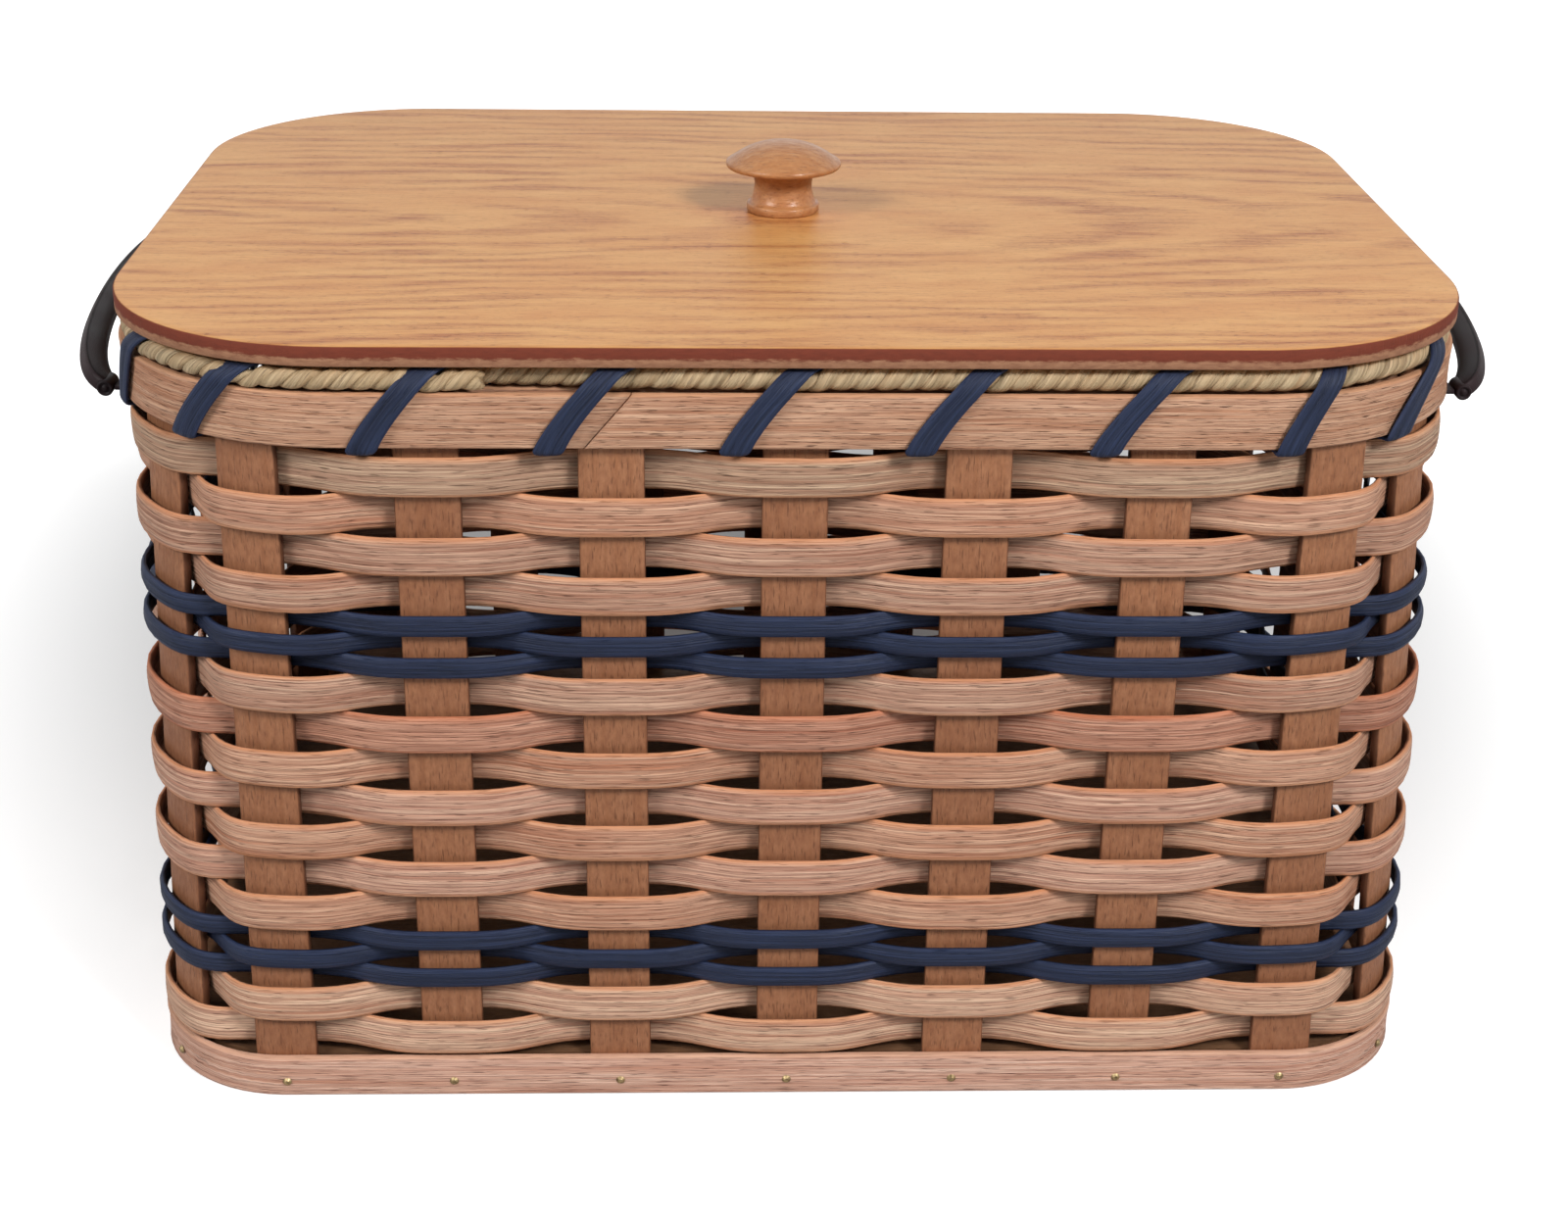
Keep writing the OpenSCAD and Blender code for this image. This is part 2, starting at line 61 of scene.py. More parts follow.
# Sizes of the basket's wall, which its pieces share
WALL_LEN = 396.0
WALL_WID = 290.0
BASE_CORNER_R = 40.0
RIM_CORNER_R = 68.0
STAKE_W = 19.0
STAKE_T = 3.2
LONG_PITCH = 52.5
SHORT_PITCH = 60.0
CORNER_SHARE = 0.355
REED_T = 2.0
WEAVE_FIT = 0.6
SEAT_FIT = 0.1
BAND_T = 2.6
RIM_T = 3.0
ROPE_D = 6.0
LASH_W = 6.6
LASH_T = 1.4
LASH_FIT = 0.55
LASH_SIDE = 18.0
LASH_HOLD = 1.3
TONGUE_BERTH = 5.0
TONGUE_W = 8.0
TONGUE_T = 1.4
STOP_D = 5.0
STOP_LEN = 8.3
HANDLE_HALF = 89.5
HANDLE_REACH = 15.0
HANDLE_TILT = 30.0
STRAP_W = 8.0
STRAP_T = 4.4
ROLL_D = 5.0
ROLL_LIP = 0.5
ROLL_GAP = 1.6
TONGUE_FIT = 0.4
# Rows from the top down: N is a natural reed and D a dyed one
ROWS = "NNNNDDDNNNNNNNDDDNN"
QUARTER_STAKES = 6
STAKES = 4 * QUARTER_STAKES

HALF_LEN = WALL_LEN / 2
HALF_WID = WALL_WID / 2
SEAT_OUT = STAKE_T / 2 + SEAT_FIT
BAND_H = node_box("base_band")[1][2]
RIM_Z = node_box("rim_outer_band")[0][2]
RIM_TOP = node_box("rim_outer_band")[1][2]
RIM_OUT = SEAT_OUT + RIM_T
LASH_OUT = RIM_OUT + LASH_FIT + LASH_T / 2
ROPE_Z = node_box("rim_rope")[0][2] + ROPE_D / 2


# The wall of the basket

def mix(a, b, t):
    return a + (b - a) * t


def ease(t):
    """A smooth step from 0 to 1."""
    t = min(1.0, max(0.0, t))
    return t * t * (3 - 2 * t)


def quarter_length(r):
    return HALF_LEN + HALF_WID + (math.pi / 2 - 2) * r


def quarter_stake(k, r):
    if k <= 3:
        return k * LONG_PITCH
    if k == 4:
        return mix(quarter_stake(3, r), quarter_stake(5, r), CORNER_SHARE)
    return quarter_length(r) - (QUARTER_STAKES - k) * SHORT_PITCH


def stake_arc(i, r):
    """Arc length of stake i on the loop with corner radius r, from the middle of the front wall."""
    quarter, k = divmod(i, QUARTER_STAKES)
    if quarter % 2 == 0:
        return quarter * quarter_length(r) + quarter_stake(k, r)
    return (quarter + 1) * quarter_length(r) - quarter_stake(QUARTER_STAKES - k, r)


def quarter_point(s, r):
    a = (s - HALF_LEN + r) / r
    if a < 0:
        return s, -HALF_WID
    if a < math.pi / 2:
        return HALF_LEN - r + r * math.sin(a), r - HALF_WID - r * math.cos(a)
    return HALF_LEN, s - quarter_length(r)


def loop_point(s, r):
    """A point on the loop with corner radius r."""
    quarter = quarter_length(r)
    whole = 4 * quarter
    t = s % whole
    q = int(t // quarter)
    x, y = quarter_point((t, whole / 2 - t, t - whole / 2, whole - t)[q], r)
    return Vector((-x if q >= 2 else x, -y if q in (1, 2) else y))


def loop_out(s, r, out):
    """A point moved out from that loop."""
    d = loop_point(s + 0.5, r) - loop_point(s - 0.5, r)
    return loop_point(s, r) + Vector((d.y, -d.x)).normalized() * out


def lean(z):
    return min(1.0, max(0.0, (z - BAND_H) / (RIM_Z - BAND_H)))


def wall(u, z, along=0.0):
    """A point on the wall at height z: u counts stakes, and along is a distance past that point."""
    i = math.floor(u)
    t = u - i
    ends = [loop_point(mix(stake_arc(i, r), stake_arc(i + 1, r), t) + along, r)
            for r in (BASE_CORNER_R, RIM_CORNER_R)]
    return ends[0].lerp(ends[1], lean(z))


def wall_out(u, z, out, along=0.0):
    """A point moved out from the wall."""
    d = wall(u, z, along + 0.5) - wall(u, z, along - 0.5)
    return wall(u, z, along) + Vector((d.y, -d.x)).normalized() * out


def swing(u):
    return math.sin(math.pi / 2 * math.cos(math.pi * u))


CLOSEST_PAIR = min(stake_arc(i + 1, r) - stake_arc(i, r)
                   for i in range(QUARTER_STAKES) for r in (BASE_CORNER_R, RIM_CORNER_R))
WEAVE_SWING = (STAKE_T / 2 + REED_T / 2 + WEAVE_FIT) / swing(STAKE_W / 2 / CLOSEST_PAIR)


# Meshes

def make_piece(name, points, faces, material, smooth=True):
    """A mesh object from points in millimetres."""
    mesh = bpy.data.meshes.new(name)
    mesh.from_pydata([Vector(p) * MM for p in points], [], faces)
    mesh.polygons.foreach_set("use_smooth", [smooth] * len(faces))
    mesh.materials.append(material)
    piece = bpy.data.objects.new(name, mesh)
    bpy.context.scene.collection.objects.link(piece)
    return piece


def turn_faces_out(piece):
    work = bmesh.new()
    work.from_mesh(piece.data)
    bmesh.ops.recalc_face_normals(work, faces=work.faces)
    work.to_mesh(piece.data)
    work.free()


def running_length(points):
    total = [0.0]
    for a, b in zip(points, points[1:]):
        total.append(total[-1] + (Vector(b) - Vector(a)).length)
    return total


def swept(name, rings, material, closed=False, shift=0.0, marks=None):
    """A skin over rings of points. Its UV map has the length along the piece and round it, in metres.

    marks gives each named attribute one value for each point of a ring.
    """
    sides = len(rings[0])
    count = len(rings)
    middles = [sum((Vector(p) for p in ring), Vector((0, 0, 0))) / sides for ring in rings]
    along = running_length(middles + middles[:1])
    around = running_length(list(rings[0]) + list(rings[0][:1]))
    faces = []
    uvs = []
    for j in range(count if closed else count - 1):
        a = j * sides
        b = (j + 1) % count * sides
        for k in range(sides):
            m = (k + 1) % sides
            faces.append((a + k, a + m, b + m, b + k))
            uvs += [(along[j], around[k]), (along[j], around[k + 1]),
                    (along[j + 1], around[k + 1]), (along[j + 1], around[k])]
    if not closed:
        last = (count - 1) * sides
        faces.append(tuple(range(sides)))
        faces.append(tuple(range(last, last + sides)))
        uvs += [(along[0], around[k]) for k in range(sides)]
        uvs += [(along[-2], around[k]) for k in range(sides)]
    piece = make_piece(name, [p for ring in rings for p in ring], faces, material)
    layer = piece.data.uv_layers.new(name="Fibre")
    layer.data.foreach_set("uv", [v for u in uvs for v in (u[0] * MM, u[1] * MM + shift)])
    for mark, values in (marks or {}).items():
        attribute = piece.data.attributes.new(mark, "FLOAT", "POINT")
        attribute.data.foreach_set("value", list(values) * count)
    turn_faces_out(piece)
    return piece


def rounded_section(low_x, high_x, low_y, high_y, r, steps=3):
    """A rectangle with rounded corners."""
    section = []
    corners = ((high_x - r, high_y - r, 0), (low_x + r, high_y - r, 90),
               (low_x + r, low_y + r, 180), (high_x - r, low_y + r, 270))
    for x, y, start in corners:
        for k in range(steps + 1):
            a = math.radians(start + 90 * k / steps)
            section.append((x + r * math.cos(a), y + r * math.sin(a)))
    return section


def circle_angles(count):
    """Evenly spaced angles round a circle."""
    return [2 * math.pi * m / count for m in range(count)]


def place(piece, body, slot, *nodes):
    """Puts a piece on its body, in place of the CAD nodes that it stands for. Its slot is not used."""
    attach(piece, body)
    if nodes:
        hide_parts(*nodes)


# Shader helpers

def colour(red, green, blue):
    """A colour from its 0 to 255 values as seen on a screen."""
    def linear(v):
        v /= 255
        return v / 12.92 if v <= 0.04045 else ((v + 0.055) / 1.055) ** 2.4
    return linear(red), linear(green), linear(blue), 1.0


def add_node(tree, kind, inputs=None, **settings):
    """A shader node with its settings; an input is a value, or the socket that feeds it."""
    made = tree.nodes.new(kind)
    for key, value in settings.items():
        setattr(made, key, value)
    for key, value in (inputs or {}).items():
        if isinstance(value, bpy.types.NodeSocket):
            tree.links.new(value, made.inputs[key])
        else:
            made.inputs[key].default_value = value
    return made


def math_node(tree, operation, a, b=0.0, c=0.0, clamp=False):
    made = add_node(tree, "ShaderNodeMath", {0: a, 1: b, 2: c}, operation=operation, use_clamp=clamp)
    return made.outputs[0]


def blend_colour(tree, factor, a, b):
    made = add_node(tree, "ShaderNodeMix", {0: factor, 6: a, 7: b}, data_type="RGBA")
    return made.outputs[2]


def tint(tree, tone, mask, share, over):
    """A tone with another colour laid over it where the mask is, at a share of the mask's strength."""
    return blend_colour(tree, math_node(tree, "MULTIPLY", mask, share), tone, over)


def map_range(tree, value, low, high, to_low=0.0, to_high=1.0):
    made = add_node(tree, "ShaderNodeMapRange", {0: value, 1: low, 2: high, 3: to_low, 4: to_high})
    return made.outputs[0]


def scaled_noise(tree, vector, scale, offset=(0, 0, 0), detail=2.0, roughness=0.5):
    """Noise over a vector that is stretched by scale first."""
    stretched = add_node(tree, "ShaderNodeVectorMath", {0: vector, 1: scale, 2: offset},
                         operation="MULTIPLY_ADD").outputs[0]
    made = add_node(tree, "ShaderNodeTexNoise",
                    {"Vector": stretched, "Scale": 1.0, "Detail": detail, "Roughness": roughness})
    return made.outputs[0]


def attribute_value(tree, name):
    return add_node(tree, "ShaderNodeAttribute", attribute_name=name).outputs["Fac"]


def new_group(name, inputs, outputs):
    """A node group with named sockets: (name, kind, default) each for inputs, (name, kind) for outputs."""
    group = bpy.data.node_groups.new(name, "ShaderNodeTree")
    for label, kind, default in inputs:
        socket = group.interface.new_socket(label, in_out="INPUT", socket_type=kind)
        if default is not None:
            socket.default_value = default
    for label, kind in outputs:
        group.interface.new_socket(label, in_out="OUTPUT", socket_type=kind)
    return group, group.nodes.new("NodeGroupInput"), group.nodes.new("NodeGroupOutput")


def make_fibre_group():
    """Split reed and wood fibre that runs along the first coordinate, which is in metres."""
    tree, given, result = new_group(
        "Split fibre",
        [("Vector", "NodeSocketVector", None), ("Length", "NodeSocketFloat", 1.0)],
        [("Streaks", "NodeSocketFloat"), ("Threads", "NodeSocketFloat"), ("Dashes", "NodeSocketFloat"),
         ("Patches", "NodeSocketFloat")])
    shorten = math_node(tree, "DIVIDE", 1.0, given.outputs["Length"])
    parts = add_node(tree, "ShaderNodeSeparateXYZ", {0: given.outputs["Vector"]})
    along = math_node(tree, "MULTIPLY", parts.outputs[0], shorten)
    vector = add_node(tree, "ShaderNodeCombineXYZ", {0: along, 1: parts.outputs[1]}).outputs[0]
    streaks = scaled_noise(tree, vector, (11, 620, 1), detail=4.0, roughness=0.62)
    threads = scaled_noise(tree, vector, (34, 2300, 1), offset=(3, 7, 1), detail=2.0, roughness=0.6)
    dashes = scaled_noise(tree, vector, (120, 2300, 1), offset=(11, 5, 3), detail=2.0)
    patches = scaled_noise(tree, vector, (9, 60, 1), offset=(5, 2, 8), detail=3.0)
    for label, noise, low, high in (("Streaks", streaks, 0.36, 0.64), ("Threads", threads, 0.36, 0.68),
                                    ("Dashes", dashes, 0.60, 0.68), ("Patches", patches, 0.36, 0.64)):
        tree.links.new(map_range(tree, noise, low, high), result.inputs[label])
    return tree


def make_grain_group():
    """Close wood grain along the first coordinate, with mottling, fine pores and slow shading."""
    tree, given, result = new_group(
        "Close grain",
        [("Vector", "NodeSocketVector", None)],
        [("Figure", "NodeSocketFloat"), ("Mottle", "NodeSocketFloat"), ("Pores", "NodeSocketFloat"),
         ("Shade", "NodeSocketFloat")])
    vector = given.outputs["Vector"]
    figure = scaled_noise(tree, vector, (22, 420, 420), detail=3.0, roughness=0.6)
    mottle = scaled_noise(tree, vector, (260, 620, 620), offset=(4, 9, 2), detail=3.0, roughness=0.65)
    pores = scaled_noise(tree, vector, (220, 1900, 1900), offset=(1, 6, 3), detail=1.0)
    shade = scaled_noise(tree, vector, (5, 3, 3), offset=(2, 8, 5), detail=1.0)
    for label, noise, low, high in (("Figure", figure, 0.3, 0.7), ("Mottle", mottle, 0.3, 0.7),
                                    ("Pores", pores, 0.60, 0.70), ("Shade", shade, 0.35, 0.65)):
        tree.links.new(map_range(tree, noise, low, high), result.inputs[label])
    return tree


FIBRE = make_fibre_group()
GRAIN = make_grain_group()


def new_material(name):
    """A material with only its output and a Principled shader."""
    material = bpy.data.materials.new(name)
    material.use_nodes = True
    tree = material.node_tree
    return material, tree, tree.nodes["Principled BSDF"]


def use_group(tree, group, **inputs):
    return add_node(tree, "ShaderNodeGroup", inputs, node_tree=group)


def strip_coordinates(tree):
    return add_node(tree, "ShaderNodeUVMap", uv_map="Fibre").outputs[0]


def object_coordinates(tree):
    return add_node(tree, "ShaderNodeTexCoord").outputs["Object"]


def add_bump(tree, shader, height, distance, strength=1.0):
    bump = add_node(tree, "ShaderNodeBump", {"Height": height, "Distance": distance, "Strength": strength})
    tree.links.new(bump.outputs[0], shader.inputs["Normal"])


# Finishes

def darker(tone, share):
    """A colour with only a share of its light left."""
    return tuple(v * share for v in tone[:3]) + (1.0,)


def reed_finish(name, body, warm, light, dark, edge, dash=0.7, length=1.0, rough=(0.5, 0.66)):
    """Split reed: warmer stretches, long light and dark fibres, short dark splits, and a cut edge.

    Its back, which faces the inside of the basket, is painted darker as shade.
    """
    material, tree, shader = new_material(name)
    fibre = use_group(tree, FIBRE, Vector=strip_coordinates(tree), Length=length)
    streaks = fibre.outputs["Streaks"]
    tone = blend_colour(tree, fibre.outputs["Patches"], body, warm)
    tone = tint(tree, tone, streaks, 0.9, light)
    tone = tint(tree, tone, fibre.outputs["Threads"], 0.75, dark)
    tone = tint(tree, tone, fibre.outputs["Dashes"], dash, darker(dark, 0.4))
    tone = tint(tree, tone, attribute_value(tree, "groove"), 0.3, darker(dark, 0.5))
    tone = tint(tree, tone, attribute_value(tree, "edge"), 0.7, edge)
    # Painted shade: the back of the reed, which faces the inside of the basket, is darkened.
    tone = tint(tree, tone, attribute_value(tree, "back"), 0.6, darker(dark, 0.4))
    tree.links.new(tone, shader.inputs["Base Color"])
    tree.links.new(map_range(tree, streaks, 0, 1, rough[1], rough[0]), shader.inputs["Roughness"])
    shader.inputs["Specular IOR Level"].default_value = 0.2
    height = math_node(tree, "SUBTRACT", streaks, fibre.outputs["Threads"])
    add_bump(tree, shader, math_node(tree, "SUBTRACT", height, fibre.outputs["Dashes"]), 0.00012)
    return material


def wood_finish(name, body, light, dark, coordinates, rough=0.5, coat=0.0, pore=0.5, edge=0.45):
    """Plain wood: close grain, soft mottling, slow changes of shade and fine dark pores.

    Marked edges are darker, and the back of a stake is painted darker as shade.
    """
    material, tree, shader = new_material(name)
    grain = use_group(tree, GRAIN, Vector=coordinates(tree))
    tone = blend_colour(tree, grain.outputs["Figure"], body, light)
    tone = tint(tree, tone, grain.outputs["Mottle"], 0.55, dark)
    tone = tint(tree, tone, grain.outputs["Shade"], 0.4, dark)
    tone = tint(tree, tone, grain.outputs["Pores"], pore, darker(dark, 0.45))
    tone = tint(tree, tone, attribute_value(tree, "edge"), edge, darker(dark, 0.5))
    # Painted shade: the back of a stake, which faces the inside of the basket, is darkened.
    tone = tint(tree, tone, attribute_value(tree, "back"), 0.6, darker(dark, 0.4))
    tree.links.new(tone, shader.inputs["Base Color"])
    tree.links.new(map_range(tree, grain.outputs["Mottle"], 0, 1, rough - 0.06, rough + 0.08),
                   shader.inputs["Roughness"])
    shader.inputs["Specular IOR Level"].default_value = 0.25
    shader.inputs["Coat Weight"].default_value = coat
    shader.inputs["Coat Roughness"].default_value = 0.2
    height = math_node(tree, "SUBTRACT", grain.outputs["Mottle"], grain.outputs["Pores"])
    add_bump(tree, shader, height, 0.00008)
    return material


def oak_rings(tree, place_on_lid, x, y):
    """A mask of the dark wood in growth rings, which arch along the board and fade in and out."""
    wander = scaled_noise(tree, place_on_lid, (3.5, 11, 0), detail=3.0, roughness=0.55)
    ripple = scaled_noise(tree, place_on_lid, (34, 150, 0), offset=(3, 1, 0), detail=3.0)
    fade = scaled_noise(tree, place_on_lid, (13, 48, 0), offset=(7, 3, 0), detail=3.0)
    across = math_node(tree, "ADD", y, map_range(tree, wander, 0, 1, -0.016, 0.04))
    depth = math_node(tree, "MULTIPLY_ADD", x, 0.16, 0.034)
    ring = math_node(tree, "SQRT", math_node(tree, "ADD", math_node(tree, "MULTIPLY", across, across),
                                             math_node(tree, "MULTIPLY", depth, depth)))
    ring = math_node(tree, "ADD", ring, map_range(tree, ripple, 0, 1, -0.005, 0.005))
    late = math_node(tree, "PINGPONG", math_node(tree, "MULTIPLY", ring, 105.0), 0.5)
    late = map_range(tree, late, 0.12, 0.46)
    return math_node(tree, "MULTIPLY", late, map_range(tree, fade, 0.38, 0.6, 0.1, 1.0))


def edge_plies(tree, z, ragged):
    """The colour of the board's edge: a pale ply under a dark one, with a ragged line between them."""
    level = math_node(tree, "ADD", z, map_range(tree, ragged, 0, 1, -0.0014, 0.0014))
    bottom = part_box("lid_panel")[0][2]
    upper = map_range(tree, level, bottom + 0.0021, bottom + 0.0029)
    plies = blend_colour(tree, upper, colour(160, 116, 88), colour(112, 52, 36))
    return blend_colour(tree, map_range(tree, ragged, 0.4, 0.7, 0, 0.5), plies, colour(88, 42, 30))


def lid_finish():
    """Oak plywood: arched bands of fine dark fibres and pores on the faces, and two plies on the edge."""
    material, tree, shader = new_material("Lid oak plywood")
    coordinates = add_node(tree, "ShaderNodeTexCoord")
    place_on_lid = coordinates.outputs["Object"]
    x, y, z = add_node(tree, "ShaderNodeSeparateXYZ", {0: place_on_lid}).outputs
    late = oak_rings(tree, place_on_lid, x, y)
    fibre = use_group(tree, FIBRE, Vector=place_on_lid, Length=0.4)
    tone = blend_colour(tree, fibre.outputs["Patches"], colour(214, 154, 92), colour(224, 170, 106))
    fibrous = math_node(tree, "MULTIPLY_ADD", fibre.outputs["Streaks"], 0.75, 0.2)
    tone = tint(tree, tone, late, fibrous, colour(150, 80, 38))
    tone = tint(tree, tone, fibre.outputs["Threads"], 0.5, colour(186, 116, 62))
    porous = math_node(tree, "MULTIPLY_ADD", late, 0.6, 0.3)
    pores = math_node(tree, "MULTIPLY", fibre.outputs["Dashes"], porous)
    tone = blend_colour(tree, pores, tone, colour(122, 64, 34))
    facing = add_node(tree, "ShaderNodeSeparateXYZ", {0: coordinates.outputs["Normal"]}).outputs[2]
    side = map_range(tree, math_node(tree, "ABSOLUTE", facing), 0.75, 0.97, 1.0, 0.0)
    ragged = scaled_noise(tree, place_on_lid, (240, 240, 900), detail=4.0, roughness=0.7)
    tone = blend_colour(tree, side, tone, edge_plies(tree, z, ragged))
    tree.links.new(tone, shader.inputs["Base Color"])
    tree.links.new(map_range(tree, side, 0, 1, 0.38, 0.75), shader.inputs["Roughness"])
    shader.inputs["Specular IOR Level"].default_value = 0.2
    height = math_node(tree, "SUBTRACT", math_node(tree, "MULTIPLY", ragged, side), pores)
    add_bump(tree, shader, height, 0.00015)
    return material


def rope_finish():
    """Twisted grass: straw and green blades that run along each strand."""
    material, tree, shader = new_material("Grass rope")
    strip = strip_coordinates(tree)
    fibre = use_group(tree, FIBRE, Vector=strip, Length=0.7)
    blades = scaled_noise(tree, strip, (60, 900, 1), offset=(2, 4, 6), detail=2.0)
    tone = blend_colour(tree, map_range(tree, blades, 0.38, 0.62), colour(136, 116, 86),
                        colour(202, 178, 142))
    tone = tint(tree, tone, fibre.outputs["Patches"], 0.6, colour(178, 144, 104))
    tone = tint(tree, tone, fibre.outputs["Streaks"], 0.35, colour(134, 120, 88))
    tone = tint(tree, tone, fibre.outputs["Dashes"], 0.6, colour(84, 68, 48))
    tree.links.new(tone, shader.inputs["Base Color"])
    tree.links.new(map_range(tree, blades, 0, 1, 0.5, 0.75), shader.inputs["Roughness"])
    add_bump(tree, shader, math_node(tree, "ADD", blades, fibre.outputs["Threads"]), 0.0002)
    return material


def leather_finish():
    """Polished bridle leather: near black brown, fine grain, paler edges and dark creased lines."""
    material, tree, shader = new_material("Bridle leather")
    place_on_strap = object_coordinates(tree)
    cells = add_node(tree, "ShaderNodeTexVoronoi", {"Vector": place_on_strap, "Scale": 1500.0},
                     feature="DISTANCE_TO_EDGE").outputs["Distance"]
    pebbles = map_range(tree, cells, 0.0, 0.25)
    clouds = scaled_noise(tree, place_on_strap, (60, 60, 60), detail=3.0)
    tone = blend_colour(tree, map_range(tree, clouds, 0.35, 0.65), colour(26, 19, 21), colour(42, 31, 33))
    tone = tint(tree, tone, attribute_value(tree, "edge"), 0.25, colour(66, 52, 54))
    tone = tint(tree, tone, attribute_value(tree, "groove"), 0.8, colour(12, 9, 10))
    tree.links.new(tone, shader.inputs["Base Color"])
    tree.links.new(map_range(tree, clouds, 0.3, 0.7, 0.38, 0.52), shader.inputs["Roughness"])
    shader.inputs["Specular IOR Level"].default_value = 0.1
    add_bump(tree, shader, pebbles, 0.00005, 0.6)
    return material


def metal_finish(name, base, tarnish, rough):
    """A small metal fitting with a little tarnish."""
    material, tree, shader = new_material(name)
    clouds = scaled_noise(tree, object_coordinates(tree), (700, 700, 700), detail=3.0)
    tone = blend_colour(tree, map_range(tree, clouds, 0.4, 0.7), base, tarnish)
    tree.links.new(tone, shader.inputs["Base Color"])
    tree.links.new(map_range(tree, clouds, 0.3, 0.7, rough, rough + 0.2), shader.inputs["Roughness"])
    shader.inputs["Metallic"].default_value = 1.0
    return material


REED_EDGE = colour(206, 138, 94)
REEDS = {
    "dull": reed_finish("Dull reed", colour(182, 144, 120), colour(167, 121, 95), colour(209, 179, 150),
                        colour(114, 79, 61), REED_EDGE),
    "tan": reed_finish("Tan reed", colour(190, 144, 121), colour(172, 118, 93), colour(216, 180, 154),
                       colour(121, 79, 62), REED_EDGE),
    "orange": reed_finish("Orange reed", colour(196, 148, 122), colour(181, 119, 89), colour(224, 183, 154),
                          colour(129, 81, 60), REED_EDGE),
    "pink": reed_finish("Pink reed", colour(202, 154, 131), colour(183, 126, 101), colour(230, 192, 166),
                        colour(130, 84, 68), REED_EDGE),
    "straw": reed_finish("Straw reed", colour(210, 165, 140), colour(193, 139, 111), colour(238, 204, 174),
                         colour(136, 93, 74), REED_EDGE),
    "russet": reed_finish("Russet reed", colour(194, 141, 115), colour(158, 96, 72), colour(214, 166, 140),
                          colour(118, 70, 53), colour(192, 114, 76)),
}
# The reed of each natural row, from the top down
ROW_REEDS = ("dull", "orange", "tan", "tan", "tan", "russet", "orange", "pink", "orange", "pink", "orange",
             "straw", "straw")
NAVY = reed_finish("Navy reed", colour(32, 40, 63), colour(26, 33, 54), colour(45, 56, 84),
                   colour(20, 25, 40), colour(38, 48, 75), dash=0.3, rough=(0.42, 0.58))
BAND = reed_finish("Rim splint", colour(190, 143, 113), colour(178, 124, 92), colour(218, 178, 148),
                   colour(130, 84, 63), colour(198, 146, 110), dash=0.95, length=0.8)
BASE_SPLINT = reed_finish("Base splint", colour(212, 164, 142), colour(196, 141, 114),
                          colour(234, 199, 178), colour(142, 92, 74), colour(208, 162, 134),
                          dash=0.9, length=1.2)
STAKE = wood_finish("Stake wood", colour(157, 105, 71), colour(172, 121, 87), colour(108, 64, 44),
                    strip_coordinates, pore=0.5, edge=0.75)
BOARD = wood_finish("Base board wood", colour(108, 76, 52), colour(124, 90, 64), colour(82, 54, 36),
                    object_coordinates, rough=0.6)
CLEAT = wood_finish("Cleat wood", colour(190, 152, 112), colour(206, 170, 130), colour(166, 124, 86),
                    object_coordinates, rough=0.6)
KNOB = wood_finish("Turned maple", colour(178, 121, 75), colour(192, 140, 94), colour(144, 88, 52),
                   object_coordinates, rough=0.34, coat=0.15, pore=0.3)
LID = lid_finish()
ROPE = rope_finish()
LEATHER = leather_finish()
BRASS = metal_finish("Worn brass", colour(166, 146, 108), colour(96, 80, 56), 0.4)
STEEL = metal_finish("Plain steel", colour(170, 170, 172), colour(110, 110, 114), 0.35)


# Weaving

# Grooves on the face of a natural and of a dyed reed
GROOVES = {"N": 5, "D": 3}
# Rings of points from one stake to the next, and up the leaning part of a stake
ROW_STEPS = 12
LEAN_STEPS = 8
# How far a stake's edges are eased, across it and through it, and how low the middle of the easing is
STAKE_EASE_W = 0.7
STAKE_EASE_T = 0.5
STAKE_SHOULDER = 0.12


def reed_section(width, thick, grooves, rng):
    """The section of a reed: a flat back, a domed face with lengthwise grooves, and rounded edges.

    Gives (across, off) points with the marks of its edges, grooves and back.
    """
    half = width / 2
    top = thick / 2

    def dome(x):
        return top - 0.5 * top * abs(x / half) ** 2.4

    # Each point is (across, off, edge, groove)
    points = [(-half, 0.0, 1.0, 0.0), (-half * 0.97, top * 0.38, 1.0, 0.0)]
    step = 2 * half / (grooves + 1)
    lip = step * 0.2
    for k in range(1, grooves + 1):
        x = -half + k * step + rng.uniform(-0.3, 0.3) * step
        depth = rng.uniform(0.05, 0.13)
        points += [(x - lip, dome(x - lip), 0.0, 0.0), (x, dome(x) - depth, 0.0, 1.0),
                   (x + lip, dome(x + lip), 0.0, 0.0)]
    points += [(half * 0.97, top * 0.38, 1.0, 0.0), (half, 0.0, 1.0, 0.0)]
    points += [(half * 0.96, -top * 0.8, 0.6, 0.0), (half * 0.5, -top, 0.0, 0.0),
               (-half * 0.5, -top, 0.0, 0.0), (-half * 0.96, -top * 0.8, 0.6, 0.0)]
    section = [(p[0], p[1]) for p in points]
    # The back mark is where the finish paints shade on the face inside the basket.
    marks = {"edge": [p[2] for p in points], "groove": [p[3] for p in points],
             "back": [1.0 if p[1] < 0 else 0.0 for p in points]}
    return section, marks


